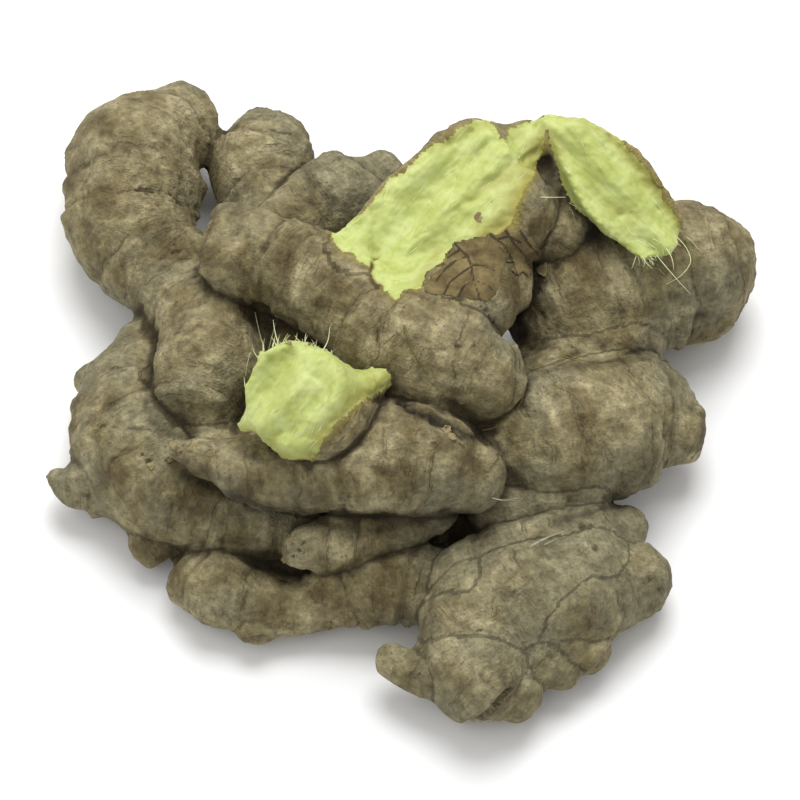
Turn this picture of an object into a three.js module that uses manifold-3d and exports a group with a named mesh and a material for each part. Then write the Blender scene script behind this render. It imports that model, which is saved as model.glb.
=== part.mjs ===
// A large hand of ginger root, lying on a surface. Millimetres, +Z up.
// It grew as one piece, so it is one solid: stubby fingers with ringed skin that fork from a
// hidden mother root, knobbly buds, two fingers snapped open and a torn slab folded over.
// Origin: the middle of the underside. +X is the viewer's right and +Y points away from the viewer.
import * as THREE from "three";
import { mergeVertices } from "three/addons/utils/BufferGeometryUtils.js";
import Module from "manifold-3d";

const wasm = await Module();
wasm.setup();

// Places are picked on a sheet that leans back as the viewer sees the root from above:
// u to the right and v up the sheet, with a height above the table.
const VIEW_ELEVATION = THREE.MathUtils.degToRad(60);
const CENTRE_X = 0.45;
const CENTRE_Y = -7.7;

// Skin relief: ring ridges that stand a little askew and fall off sooner at the back,
// with broad lumps and finer knurls.
const RING_SPACING = 12.5;
const RING_HEIGHT = 0.8;
const RING_WIDTH = 1.9;
const RING_BACK = 0.6;
const RING_SLANT = 0.2;
const RING_STRAY = 0.22;
const LUMP_HEIGHT = 1.1;
const KNURL_HEIGHT = 0.45;

// Torn flesh: the height of its long ridges and of the steps across them.
const FIBRE_RIDGE = 0.9;
const FIBRE_STEP = 0.6;

// How finely a finger is made: steps over a round end, and sides around it by its size.
const CAP_STEPS = 3;
const SMALL_RADIUS = 8;
const MIDDLING_RADIUS = 12;
const SIDES = { small: 8, middling: 10, large: 14, hidden: 8 };
const HIDDEN_STEP = 12;

// The table cuts the low fingers to small flat spots that the root rests on.
const TABLE_SIZE = 400;
const FINEST_DETAIL = 0.3;

const SKIN_COLOUR = new THREE.Color(0x8d8260);

function place(u, v, height) {
  const y = (v - height * Math.cos(VIEW_ELEVATION)) / Math.sin(VIEW_ELEVATION);
  return new THREE.Vector3(u - CENTRE_X, y - CENTRE_Y, height);
}

// A direction given as right, up the sheet and towards the viewer.
function sheetDirection(right, up, near) {
  const sin = Math.sin(VIEW_ELEVATION);
  const cos = Math.cos(VIEW_ELEVATION);
  return new THREE.Vector3(right, up * sin - near * cos, up * cos + near * sin).normalize();
}

// Each finger's spine is a list of [u, v, height, radius] from its tip or its free end.
const FINGERS = {
  thumb: [
    [-57.7, 70.3, 15, 10.7], [-66, 62, 17, 17.6], [-68, 52.5, 17, 16.6], [-68, 43.5, 17, 15.4],
    [-63, 36, 18, 13.4], [-54, 28, 20, 12.6], [-47, 17, 23.5, 13.2], [-47.5, 8, 25, 13.4],
    [-49, 3.5, 24.5, 12],
  ],
  left_hand: [
    [-60.5, 18, 13, 7.5], [-66, 8, 12, 10.5], [-69.3, -2, 13, 11.8], [-66.5, -13, 14.5, 14.8],
    [-57, -22.5, 14.5, 14.4], [-42.5, -28, 12.5, 12], [-25, -32.5, 12, 10], [-7.5, -36, 12, 8.5],
  ],
  left_bud: [[-86.4, -19.3, 10, 2.4], [-82.5, -21.3, 10, 5], [-73, -20.5, 11, 9]],
  left_corner: [[-76, 4.5, 11, 5.5], [-69, 0, 12, 8]],
  left_foot: [[-61.5, -35.5, 8, 6.2], [-55, -29.5, 10, 9.8]],
  middle_finger: [
    [-39, 37.5, 40, 11.6], [-27, 32.8, 41, 12], [-13, 25.2, 42, 13.4], [0, 15.5, 43, 15.2],
    [12.5, 8.8, 42, 14.6], [19.5, 5.5, 39, 11.5],
  ],
  right_finger: [[72, 32.5, 17, 18.2], [61.5, 31.3, 19, 19], [50, 27.5, 20, 18.8], [43.5, 24, 21, 17]],
  right_hand: [
    [69, -8, 14, 7.8], [62, -4.2, 16, 15.2], [50, -7.3, 19, 17.8], [35, -11, 21, 18],
    [20, -14, 22, 13.5],
  ],
  right_bud_upper: [[73.3, -5.8, 13, 3.4], [66, -5, 14, 6.5]],
  right_bud_lower: [[72, -12.3, 12, 3.8], [65, -10.5, 13, 7.5]],
  right_belly: [[43, -21.5, 17, 10.5], [27, -24.5, 18, 11]],
  foot_top: [[54.8, -33.3, 10, 7.3], [47, -36, 13, 11], [32, -41.5, 15, 12.5], [15, -46.5, 14, 10.8]],
  foot_tip: [[58, -45.3, 10, 9.8], [50, -47.5, 12, 12.5], [36, -50.5, 14.2, 14.8], [20, -53, 14.2, 14.5]],
  foot_knob: [[46, -60.8, 9, 6.6], [37, -57, 12, 10.5]],
  foot_lower: [[27, -71.5, 9, 8.4], [19, -67.5, 13, 13.2], [16, -61, 13, 11.5]],
  foot_bud_left: [[-2.2, -64.3, 12, 4], [4.5, -67.6, 12, 5.4], [11.5, -68, 13, 7.6]],
  foot_bud_right: [[40, -67.6, 9, 4.4], [33, -63, 12, 8.5]],
  front_finger: [
    [-51.5, -45.3, 8, 7.2], [-45.5, -47.3, 9, 9], [-36, -49.3, 9, 8.4], [-24, -50.8, 9, 7.6],
    [-12, -47.6, 10, 9.2], [-2, -45.6, 12, 10.2], [7, -45.5, 12, 10],
  ],
  front_bud: [[-35.5, -55.6, 7, 5.4], [-34.5, -50, 9, 7]],
  little_finger: [[-23.8, -37, 23, 5.3], [-14, -34.5, 22, 6.8], [-2, -31, 22, 7.2], [8, -26, 24, 7]],
  centre_finger: [
    [-54.5, -12.3, 33.5, 3.2], [-49.5, -14.2, 34, 5.4], [-40, -16.6, 34.5, 7.6], [-26, -17.8, 35, 9.3],
    [-12, -16.3, 36.5, 12], [1, -14.2, 37.5, 14.2], [11, -15.8, 36, 12.6], [17, -18.3, 34, 9.5],
  ],
  back_knob: [[-33.5, 63.4, 13, 11.5], [-36, 58.5, 14, 12.6], [-34.4, 50.5, 16, 9.9], [-33.5, 43.8, 20, 9]],
  back_finger: [[-6, 57, 20, 6.6], [-12.8, 53, 20, 10.4], [-22.5, 48, 20, 9.4], [-31, 43.5, 22, 8.5]],
};

// Smooth growth behind and between the fingers, which makes broad palms of them.
const PALMS = {
  mother_root: [[-34.5, 40, 22, 9], [-17.5, 25, 22, 12], [2.5, 2.5, 22, 14], [20, -10, 20, 14]],
  front_root: [[-25, -25, 16, 10], [-8, -24, 16, 11], [10, -18, 16, 11]],
  left_palm: [[-63, -3, 12.5, 12], [-50, -13, 14, 12], [-34, -19, 15, 12]],
  thumb_palm: [[-45, 12, 19, 11], [-30, 15, 21, 11.5], [-12, 10, 24, 12]],
  middle_palm: [[22.5, 29, 39, 10.5], [13, 23.5, 41, 14.5], [2, 24, 41, 13]],
  right_palm: [[24, -10, 18, 13], [42, 6, 17, 13], [54, 17, 17, 13]],
  slab_hinge: [[37.5, 62.5, 45, 6], [40, 52.5, 41, 9], [37, 43.5, 37, 10]],
  front_web: [[-31, -41, 7, 6], [-18, -42, 8, 6.5]],
  heel_web: [[9, -31, 9, 7], [19, -34, 9, 7]],
  foot_palm: [[46, -44, 14.5, 13], [32, -49, 16, 15], [18, -57, 15, 13.5]],
};

// Snapped fingers: what lies beyond the torn face is flattened onto it, roughened along the fibres.
const TORN_FINGERS = {
  snapped_finger: {
    spine: [
      [31, 63.8, 50, 6.6], [27, 60, 48, 14.5], [19, 50, 47, 19.5], [4, 41, 48, 16],
      [-8.5, 34.5, 49.5, 10.5],
    ],
    face: { at: [12, 45, 54], normal: [-0.12, 0.3, 0.95], fibre: [0.58, 0.82, 0] },
  },
  torn_slab: {
    spine: [
      [38.5, 66.5, 53, 5.4], [44, 63, 52.5, 8], [50.5, 56, 51, 9.8], [57, 49.5, 49.5, 10],
      [62.3, 43.5, 48, 8.9],
    ],
    face: { at: [50, 56, 53], normal: [0.1, 0.1, 0.99], fibre: [0.72, -0.69, 0] },
  },
  snapped_stub: {
    spine: [[-25, 0.5, 54, 13.6], [-18.8, -3.8, 47, 12.5], [-11.2, -8.8, 40, 9.5]],
    face: { at: [-25, 0, 58], normal: [-0.3, 0.15, 0.94], fibre: [0.6, 0.8, 0] },
  },
  stub_flap: {
    spine: [[-5, 5.2, 50, 2.8], [-12, 2, 50, 6], [-19, -3, 49, 9]],
    face: { at: [-12, 2, 53], normal: [-0.2, 0.1, 0.97], fibre: [0.8, 0.6, 0] },
  },
};

// Broad lumps and finer knurls that the whole skin follows.
function lumpAt(p) {
  const across = Math.sin(0.17 * p.x + 0.6) * Math.sin(0.19 * p.y + 2.1);
  const broad = across + Math.sin(0.21 * p.z + 0.16 * p.x);
  const fine = Math.sin(0.52 * p.x + 0.31 * p.y) * Math.sin(0.47 * p.z - 0.38 * p.y + 1.4);
  return 0.5 * LUMP_HEIGHT * broad + KNURL_HEIGHT * fine;
}

// A round end as stations: how far along, what share of the full radius, and how tall a ring.
function capStations(start, reach) {
  return Array.from({ length: CAP_STEPS + 1 }, (_, i) => {
    const turn = ((i / CAP_STEPS) * Math.PI) / 2;
    return { s: start + reach * Math.cos(turn), share: Math.sin(turn), ring: 0 };
  });
}

// Three stations to each ring, so that it stands up from the skin. The rings stray from even spacing.
function ringStations(length) {
  const rings = Math.max(1, Math.round(length / RING_SPACING));
  const spacing = length / rings;
  return Array.from({ length: rings }, (_, i) => {
    const middle = (i + 0.5 + RING_STRAY * Math.sin(2.4 * i + length)) * spacing;
    return [
      { s: middle - RING_WIDTH, share: 1, ring: 0 },
      { s: middle, share: 1, ring: 1 },
      { s: middle + RING_BACK * RING_WIDTH, share: 1, ring: 0 },
    ];
  }).flat();
}

function plainStations(length) {
  const steps = Math.round(length / HIDDEN_STEP);
  const inner = Array.from({ length: Math.max(0, steps - 1) }, (_, i) => (i + 1) / steps);
  return inner.map((along) => ({ s: along * length, share: 1, ring: 0 }));
}

function sidesFor(widest, ringed) {
  if (!ringed) return SIDES.hidden;
  if (widest < SMALL_RADIUS) return SIDES.small;
  return widest < MIDDLING_RADIUS ? SIDES.middling : SIDES.large;
}

// A closed finger: a lathe turned about a straight line, then bent along the spine.
function fingerGeometry(spine, ringed = true) {
  const curve = new THREE.CatmullRomCurve3(spine.map(([u, v, h]) => place(u, v, h)), false, "centripetal");
  const radii = new THREE.SplineCurve(spine.map(([, , , r], i) => new THREE.Vector2(i, r)));
  const length = curve.getLength();
  const widest = Math.max(...spine.map(([, , , r]) => r));
  const stations = [
    ...capStations(0, -spine[0][3]),
    ...(ringed ? ringStations(length) : plainStations(length)),
    ...capStations(length, spine.at(-1)[3]).reverse(),
  ];
  const profile = stations.map(({ s, share }) => new THREE.Vector2(share, s));
  profile[0].x = 0;
  profile.at(-1).x = 0;
  const geometry = new THREE.LatheGeometry(profile, sidesFor(widest, ringed));
  const position = geometry.getAttribute("position");
  const up = new THREE.Vector3(0, 0, 1);
  for (let i = 0; i < position.count; i++) {
    const station = stations[i % stations.length];
    const across = new THREE.Vector2(position.getX(i), position.getZ(i));
    const lean = station.s * 0.07 + length;
    const slant = station.share < 1 ? 0 : RING_SLANT * (across.x * Math.cos(lean) + across.y * Math.sin(lean));
    const along = THREE.MathUtils.clamp(station.s / length, 0, 1);
    const t = curve.getUtoTmapping(along);
    const radius = radii.getPoint(t).y + station.ring * RING_HEIGHT;
    const tangent = curve.getTangent(t);
    const side = new THREE.Vector3().crossVectors(tangent, up).normalize();
    const rise = new THREE.Vector3().crossVectors(side, tangent);
    const past = station.s - along * length + slant * radius;
    const point = curve.getPoint(t).addScaledVector(tangent, past);
    const outward = side.multiplyScalar(across.x).addScaledVector(rise, across.y);
    point.addScaledVector(outward, radius);
    point.addScaledVector(outward, lumpAt(point) * Math.min(1, radius / SMALL_RADIUS));
    position.setXYZ(i, point.x, point.y, point.z);
  }
  return geometry;
}

// Flattens what lies beyond a torn face onto it, with ridges and steps that follow the fibres.
function tearOpen(geometry, { at, normal, fibre }) {
  const origin = place(...at);
  const out = sheetDirection(...normal);
  const along = sheetDirection(...fibre).projectOnPlane(out).normalize();
  const across = new THREE.Vector3().crossVectors(out, along);
  const position = geometry.getAttribute("position");
  const point = new THREE.Vector3();
  for (let i = 0; i < position.count; i++) {
    point.fromBufferAttribute(position, i).sub(origin);
    const a = point.dot(along);
    const b = point.dot(across);
    const ridge = FIBRE_RIDGE * Math.sin(0.55 * b + 0.08 * a);
    const step = FIBRE_STEP * Math.sin(0.31 * a + 0.9 * b + 1.2);
    const beyond = point.dot(out) - ridge - step;
    if (beyond > 0) point.addScaledVector(out, -beyond);
    point.add(origin);
    position.setXYZ(i, point.x, point.y, point.z);
  }
  return geometry;
}

function toSolid(geometry) {
  geometry.deleteAttribute("normal");
  geometry.deleteAttribute("uv");
  const merged = mergeVertices(geometry, 1e-3);
  const triVerts = new Uint32Array(merged.index.array);
  const vertProperties = new Float32Array(merged.getAttribute("position").array);
  const solid = new wasm.Manifold(new wasm.Mesh({ numProp: 3, vertProperties, triVerts }));
  if (solid.volume() > 0) return solid;
  for (let i = 0; i < triVerts.length; i += 3) {
    [triVerts[i], triVerts[i + 1]] = [triVerts[i + 1], triVerts[i]];
  }
  return new wasm.Manifold(new wasm.Mesh({ numProp: 3, vertProperties, triVerts }));
}

function joinFingers() {
  const solids = Object.values(FINGERS).map((spine) => toSolid(fingerGeometry(spine)));
  solids.push(...Object.values(PALMS).map((spine) => toSolid(fingerGeometry(spine, false))));
  for (const { spine, face } of Object.values(TORN_FINGERS)) {
    solids.push(toSolid(tearOpen(fingerGeometry(spine), face)));
  }
  const table = new THREE.BoxGeometry(TABLE_SIZE, TABLE_SIZE, TABLE_SIZE);
  table.translate(0, 0, -TABLE_SIZE / 2);
  const joined = solids.reduce((root, finger) => root.add(finger)).subtract(toSolid(table));
  // The outer shell alone, so that hollows sealed between the fingers are filled.
  const shells = joined.simplify(FINEST_DETAIL).decompose();
  return shells.reduce((a, b) => (b.volume() > a.volume() ? b : a));
}

function toGeometry(solid) {
  const mesh = solid.getMesh();
  const geometry = new THREE.BufferGeometry();
  geometry.setAttribute("position", new THREE.BufferAttribute(mesh.vertProperties, 3));
  geometry.setIndex(new THREE.BufferAttribute(mesh.triVerts, 1));
  geometry.computeVertexNormals();
  return geometry;
}

const root = new THREE.Mesh(
  toGeometry(joinFingers()),
  new THREE.MeshStandardMaterial({ color: SKIN_COLOUR, roughness: 0.85, metalness: 0 }),
);
root.name = "ginger_root";

const part = new THREE.Group();
part.add(root);
export default part;
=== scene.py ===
"""A large hand of fresh ginger root: ringed skin, torn flesh, fibres and root hairs."""

import logging
import math
from collections.abc import Iterable
from dataclasses import dataclass, field
from enum import Enum

import bmesh
import bpy
import numpy as np
from bmesh.types import BMesh, BMVert
from bpy.types import Material, Mesh, Node, NodeSocket, NodeTree, Object
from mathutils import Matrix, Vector
from mathutils.bvhtree import BVHTree


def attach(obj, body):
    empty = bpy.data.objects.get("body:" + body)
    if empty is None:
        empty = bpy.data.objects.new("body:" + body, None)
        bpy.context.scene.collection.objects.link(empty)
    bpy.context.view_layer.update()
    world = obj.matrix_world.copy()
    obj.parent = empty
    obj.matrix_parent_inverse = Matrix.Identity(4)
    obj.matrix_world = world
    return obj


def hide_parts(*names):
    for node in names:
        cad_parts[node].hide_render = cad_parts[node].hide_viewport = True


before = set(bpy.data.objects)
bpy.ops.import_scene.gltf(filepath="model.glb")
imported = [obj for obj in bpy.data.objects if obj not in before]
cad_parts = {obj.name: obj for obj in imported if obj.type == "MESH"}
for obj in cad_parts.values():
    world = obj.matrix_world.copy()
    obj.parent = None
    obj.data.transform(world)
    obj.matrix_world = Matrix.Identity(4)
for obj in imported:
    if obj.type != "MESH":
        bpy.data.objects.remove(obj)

log = logging.getLogger("ginger")

NODE = "ginger_root"
BODY = "root"
MM = 0.001
SEED = 20
PIXELS_A_MM = 4
HALF_SHEET = 100

Array = np.ndarray
Spine = tuple[tuple[float, float, float, float], ...]
Outline = tuple[tuple[float, float], ...]


@dataclass(frozen=True)
class Sheet:
    """The leaning sheet that every place on the root is picked on, in millimetres."""

    elevation: float = math.radians(60)
    centre_x: float = 0.45
    centre_y: float = -7.7

    def place(self, u: float, v: float, height: float) -> Array:
        """Gives the place in the root's frame of a point on the sheet.

        Args:
            u: Distance to the right.
            v: Distance up the sheet.
            height: Height above the table.

        Returns:
            The x, y and z of the place.
        """
        y = (v - height * math.cos(self.elevation)) / math.sin(self.elevation)
        return np.array([u - self.centre_x, y - self.centre_y, height])

    def direction(self, right: float, up: float, near: float) -> Array:
        """Gives a unit direction from its shares to the right, up the sheet and towards the viewer.

        Args:
            right: Share to the right.
            up: Share up the sheet.
            near: Share towards the viewer.

        Returns:
            The unit direction in the root's frame.
        """
        sin, cos = math.sin(self.elevation), math.cos(self.elevation)
        way = np.array([right, up * sin - near * cos, up * cos + near * sin])
        return way / np.linalg.norm(way)

    def at(self, u: float, v: float, nearness: float) -> Array:
        """Gives the place that falls on a point of the sheet, at a nearness to the viewer.

        Args:
            u: Distance to the right.
            v: Distance up the sheet.
            nearness: Distance towards the viewer.

        Returns:
            The x, y and z of the place.
        """
        sin, cos = math.sin(self.elevation), math.cos(self.elevation)
        y = v * sin - nearness * cos - self.centre_y
        return np.array([u - self.centre_x, y, v * cos + nearness * sin])

    def flatten(self, points: Array) -> tuple[Array, Array, Array]:
        """Gives where points fall on the sheet, and how near the viewer they are.

        Args:
            points: One row of x, y and z for each point.

        Returns:
            The u, the v and the nearness of each point.
        """
        sin, cos = math.sin(self.elevation), math.cos(self.elevation)
        x = points[:, 0] + self.centre_x
        y = points[:, 1] + self.centre_y
        z = points[:, 2]
        return x, y * sin + z * cos, z * sin - y * cos


SHEET = Sheet()


def on_sheet(pixels: Outline | tuple[float, float]) -> Array:
    """Gives the u and v, in millimetres, of one or more pixels of the 800 by 800 picture."""
    return np.array(pixels) / (PIXELS_A_MM, -PIXELS_A_MM) + (-HALF_SHEET, HALF_SHEET)


class Growth(Enum):
    """How a finger's skin grew."""

    RINGED = "ringed"
    PALM = "palm"


@dataclass(frozen=True)
class TornFace:
    """The plane that a snapped finger was torn along, and the way its fibres run."""

    at: tuple[float, float, float]
    normal: tuple[float, float, float]
    fibre: tuple[float, float, float]

    def local(self, points: Array) -> Array:
        """Gives places as distances along the fibres, across them and out of the face.

        Args:
            points: One row for each place.

        Returns:
            The three distances of each place, one row for each.
        """
        out = SHEET.direction(*self.normal)
        fibre = SHEET.direction(*self.fibre)
        along = fibre - out * (fibre @ out)
        along /= np.linalg.norm(along)
        axes = np.stack([along, np.cross(out, along), out])
        return (points - SHEET.place(*self.at)) @ axes.T


@dataclass(frozen=True)
class Finger:
    """One finger, bud or palm: a spine of u, v, height and radius, from its tip or free end."""

    name: str
    spine: Spine
    growth: Growth = Growth.RINGED
    torn: TornFace | None = None


SNAPPED_FINGER_FACE = TornFace((12, 45, 54), (-0.12, 0.3, 0.95), (0.58, 0.82, 0))
TORN_SLAB_FACE = TornFace((50, 56, 53), (0.1, 0.1, 0.99), (0.72, -0.69, 0))
SNAPPED_STUB_FACE = TornFace((-25, 0, 58), (-0.3, 0.15, 0.94), (0.6, 0.8, 0))
STUB_FLAP_FACE = TornFace((-12, 2, 53), (-0.2, 0.1, 0.97), (0.8, 0.6, 0))

FINGERS: tuple[Finger, ...] = (
    Finger("thumb", (
        (-57.7, 70.3, 15, 10.7), (-66, 62, 17, 17.6), (-68, 52.5, 17, 16.6), (-68, 43.5, 17, 15.4),
        (-63, 36, 18, 13.4), (-54, 28, 20, 12.6), (-47, 17, 23.5, 13.2), (-47.5, 8, 25, 13.4),
        (-49, 3.5, 24.5, 12),
    )),
    Finger("left_hand", (
        (-60.5, 18, 13, 7.5), (-66, 8, 12, 10.5), (-69.3, -2, 13, 11.8), (-66.5, -13, 14.5, 14.8),
        (-57, -22.5, 14.5, 14.4), (-42.5, -28, 12.5, 12), (-25, -32.5, 12, 10), (-7.5, -36, 12, 8.5),
    )),
    Finger("left_bud", ((-86.4, -19.3, 10, 2.4), (-82.5, -21.3, 10, 5), (-73, -20.5, 11, 9))),
    Finger("left_corner", ((-76, 4.5, 11, 5.5), (-69, 0, 12, 8))),
    Finger("left_foot", ((-61.5, -35.5, 8, 6.2), (-55, -29.5, 10, 9.8))),
    Finger("middle_finger", (
        (-39, 37.5, 40, 11.6), (-27, 32.8, 41, 12), (-13, 25.2, 42, 13.4), (0, 15.5, 43, 15.2),
        (12.5, 8.8, 42, 14.6), (19.5, 5.5, 39, 11.5),
    )),
    Finger("right_finger", (
        (72, 32.5, 17, 18.2), (61.5, 31.3, 19, 19), (50, 27.5, 20, 18.8), (43.5, 24, 21, 17),
    )),
    Finger("right_hand", (
        (69, -8, 14, 7.8), (62, -4.2, 16, 15.2), (50, -7.3, 19, 17.8), (35, -11, 21, 18),
        (20, -14, 22, 13.5),
    )),
    Finger("right_bud_upper", ((73.3, -5.8, 13, 3.4), (66, -5, 14, 6.5))),
    Finger("right_bud_lower", ((72, -12.3, 12, 3.8), (65, -10.5, 13, 7.5))),
    Finger("right_belly", ((43, -21.5, 17, 10.5), (27, -24.5, 18, 11))),
    Finger("foot_top", (
        (54.8, -33.3, 10, 7.3), (47, -36, 13, 11), (32, -41.5, 15, 12.5), (15, -46.5, 14, 10.8),
    )),
    Finger("foot_tip", (
        (58, -45.3, 10, 9.8), (50, -47.5, 12, 12.5), (36, -50.5, 14.2, 14.8), (20, -53, 14.2, 14.5),
    )),
    Finger("foot_knob", ((46, -60.8, 9, 6.6), (37, -57, 12, 10.5))),
    Finger("foot_lower", ((27, -71.5, 9, 8.4), (19, -67.5, 13, 13.2), (16, -61, 13, 11.5))),
    Finger("foot_bud_left", ((-2.2, -64.3, 12, 4), (4.5, -67.6, 12, 5.4), (11.5, -68, 13, 7.6))),
    Finger("foot_bud_right", ((40, -67.6, 9, 4.4), (33, -63, 12, 8.5))),
    Finger("front_finger", (
        (-51.5, -45.3, 8, 7.2), (-45.5, -47.3, 9, 9), (-36, -49.3, 9, 8.4), (-24, -50.8, 9, 7.6),
        (-12, -47.6, 10, 9.2), (-2, -45.6, 12, 10.2), (7, -45.5, 12, 10),
    )),
    Finger("front_bud", ((-35.5, -55.6, 7, 5.4), (-34.5, -50, 9, 7))),
    Finger("little_finger", (
        (-23.8, -37, 23, 5.3), (-14, -34.5, 22, 6.8), (-2, -31, 22, 7.2), (8, -26, 24, 7),
    )),
    Finger("centre_finger", (
        (-54.5, -12.3, 33.5, 3.2), (-49.5, -14.2, 34, 5.4), (-40, -16.6, 34.5, 7.6), (-26, -17.8, 35, 9.3),
        (-12, -16.3, 36.5, 12), (1, -14.2, 37.5, 14.2), (11, -15.8, 36, 12.6), (17, -18.3, 34, 9.5),
    )),
    Finger("back_knob", (
        (-33.5, 63.4, 13, 11.5), (-36, 58.5, 14, 12.6), (-34.4, 50.5, 16, 9.9), (-33.5, 43.8, 20, 9),
    )),
    Finger("back_finger", (
        (-6, 57, 20, 6.6), (-12.8, 53, 20, 10.4), (-22.5, 48, 20, 9.4), (-31, 43.5, 22, 8.5),
    )),
    Finger("mother_root", (
        (-34.5, 40, 22, 9), (-17.5, 25, 22, 12), (2.5, 2.5, 22, 14), (20, -10, 20, 14),
    ), Growth.PALM),
    Finger("front_root", ((-25, -25, 16, 10), (-8, -24, 16, 11), (10, -18, 16, 11)), Growth.PALM),
    Finger("left_palm", ((-63, -3, 12.5, 12), (-50, -13, 14, 12), (-34, -19, 15, 12)), Growth.PALM),
    Finger("thumb_palm", ((-45, 12, 19, 11), (-30, 15, 21, 11.5), (-12, 10, 24, 12)), Growth.PALM),
    Finger("middle_palm", ((22.5, 29, 39, 10.5), (13, 23.5, 41, 14.5), (2, 24, 41, 13)), Growth.PALM),
    Finger("right_palm", ((24, -10, 18, 13), (42, 6, 17, 13), (54, 17, 17, 13)), Growth.PALM),
    Finger("slab_hinge", ((37.5, 62.5, 45, 6), (40, 52.5, 41, 9), (37, 43.5, 37, 10)), Growth.PALM),
    Finger("front_web", ((-31, -41, 7, 6), (-18, -42, 8, 6.5)), Growth.PALM),
    Finger("heel_web", ((9, -31, 9, 7), (19, -34, 9, 7)), Growth.PALM),
    Finger("foot_palm", ((46, -44, 14.5, 13), (32, -49, 16, 15), (18, -57, 15, 13.5)), Growth.PALM),
    Finger("snapped_finger", (
        (31, 63.8, 50, 6.6), (27, 60, 48, 14.5), (19, 50, 47, 19.5), (4, 41, 48, 16),
        (-8.5, 34.5, 49.5, 10.5),
    ), torn=SNAPPED_FINGER_FACE),
    Finger("torn_slab", (
        (38.5, 66.5, 53, 5.4), (44, 63, 52.5, 8), (50.5, 56, 51, 9.8), (57, 49.5, 49.5, 10),
        (62.3, 43.5, 48, 8.9),
    ), torn=TORN_SLAB_FACE),
    Finger("snapped_stub", (
        (-25, 0.5, 54, 13.6), (-18.8, -3.8, 47, 12.5), (-11.2, -8.8, 40, 9.5),
    ), torn=SNAPPED_STUB_FACE),
    Finger("stub_flap", ((-5, 5.2, 50, 2.8), (-12, 2, 50, 6), (-19, -3, 49, 9)), torn=STUB_FLAP_FACE),
)


@dataclass
class Noise:
    """A smooth random field in space, the same on every run."""

    seed: int
    size: int = 32
    grid: Array = field(init=False)

    def __post_init__(self) -> None:
        """Fills the field's lattice."""
        self.grid = np.random.default_rng(self.seed).uniform(-1.0, 1.0, (self.size,) * 3)

    def at(self, points: Array, scale: float) -> Array:
        """Reads the field.

        Args:
            points: One row for each place.
            scale: The size of one lump.

        Returns:
            A value from -1 to 1 for each place.
        """
        spot = points / scale
        cell = np.floor(spot).astype(int)
        share = spot - cell
        share = share * share * (3.0 - 2.0 * share)
        total = np.zeros(len(points))
        for corner in np.ndindex(2, 2, 2):
            index = (cell + corner) % self.size
            weight = np.prod(np.where(corner, share, 1.0 - share), axis=1)
            total += weight * self.grid[index[:, 0], index[:, 1], index[:, 2]]
        return total

    def layered(self, points: Array, scale: float, layers: int = 3) -> Array:
        """Adds ever finer layers of the field, each half as strong.

        Args:
            points: One row for each place.
            scale: The size of the broadest lump.
            layers: How many layers.

        Returns:
            A value for each place.
        """
        total = np.zeros(len(points))
        for layer in range(layers):
            total += self.at(points + 11.3 * layer, scale / 2**layer) / 2**layer
        return total


def run_along(points: Array) -> Array:
    """Gives the distance to each place along a line of places."""
    return np.concatenate([[0.0], np.cumsum(np.linalg.norm(np.diff(points, axis=0), axis=1))])


@dataclass
class Path:
    """A finger's spine as closely spaced places with their radii."""

    finger: Finger
    step: float = 1.4
    centres: Array = field(init=False)
    radii: Array = field(init=False)
    tangents: Array = field(init=False)
    lengths: Array = field(init=False)

    def __post_init__(self) -> None:
        """Runs a smooth curve through the spine and steps along it evenly."""
        knots = np.array([SHEET.place(u, v, h) for u, v, h, _ in self.finger.spine])
        radii = np.array([r for *_, r in self.finger.spine])
        centres, widths = self.curve(knots, radii)
        run = run_along(centres)
        count = max(3, int(run[-1] / self.step) + 1)
        self.lengths = np.linspace(0.0, run[-1], count)
        self.centres = np.stack([np.interp(self.lengths, run, centres[:, k]) for k in range(3)], axis=1)
        self.radii = np.interp(self.lengths, run, widths)
        ways = np.gradient(self.centres, axis=0)
        self.tangents = ways / np.linalg.norm(ways, axis=1)[:, None]

    @staticmethod
    def curve(knots: Array, radii: Array, steps: int = 24) -> tuple[Array, Array]:
        """Runs a centripetal curve through knots, and the radii along with it.

        Args:
            knots: The places to run through.
            radii: The radius at each knot.
            steps: How many places between two knots.

        Returns:
            The places on the curve and the radius at each.
        """
        ends = np.vstack([2 * knots[0] - knots[1], knots, 2 * knots[-1] - knots[-2]])
        wide = np.concatenate([[radii[0]], radii, [radii[-1]]])
        places: list[Array] = []
        widths: list[float] = []
        for i in range(len(knots) - 1):
            four = ends[i : i + 4]
            gaps = [max(1e-4, np.linalg.norm(four[k + 1] - four[k]) ** 0.5) for k in range(3)]
            times = np.concatenate([[0.0], np.cumsum(gaps)])
            last = i == len(knots) - 2
            for share in np.linspace(0.0, 1.0, steps + 1)[: None if last else -1]:
                t = times[1] + share * gaps[1]
                near = [
                    (four[k] * (times[k + 1] - t) + four[k + 1] * (t - times[k])) / gaps[k] for k in range(3)
                ]
                middle = [
                    (near[k] * (times[k + 2] - t) + near[k + 1] * (t - times[k])) / (times[k + 2] - times[k])
                    for k in range(2)
                ]
                places.append((middle[0] * (times[2] - t) + middle[1] * (t - times[1])) / gaps[1])
                r = wide[i : i + 4]
                widths.append(float(
                    r[1] + 0.5 * share * (r[2] - r[0] + share * (
                        2 * r[0] - 5 * r[1] + 4 * r[2] - r[3] + share * (3 * (r[1] - r[2]) + r[3] - r[0])
                    ))
                ))
        return np.array(places), np.array(widths)

    def turned(self) -> tuple[Array, Array]:
        """Gives the sideways and upward directions at each place.

        Returns:
            Two arrays of unit directions.
        """
        side = np.cross(self.tangents, [0.0, 0.0, 1.0])
        side /= np.linalg.norm(side, axis=1)[:, None]
        return side, np.cross(side, self.tangents)


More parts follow.
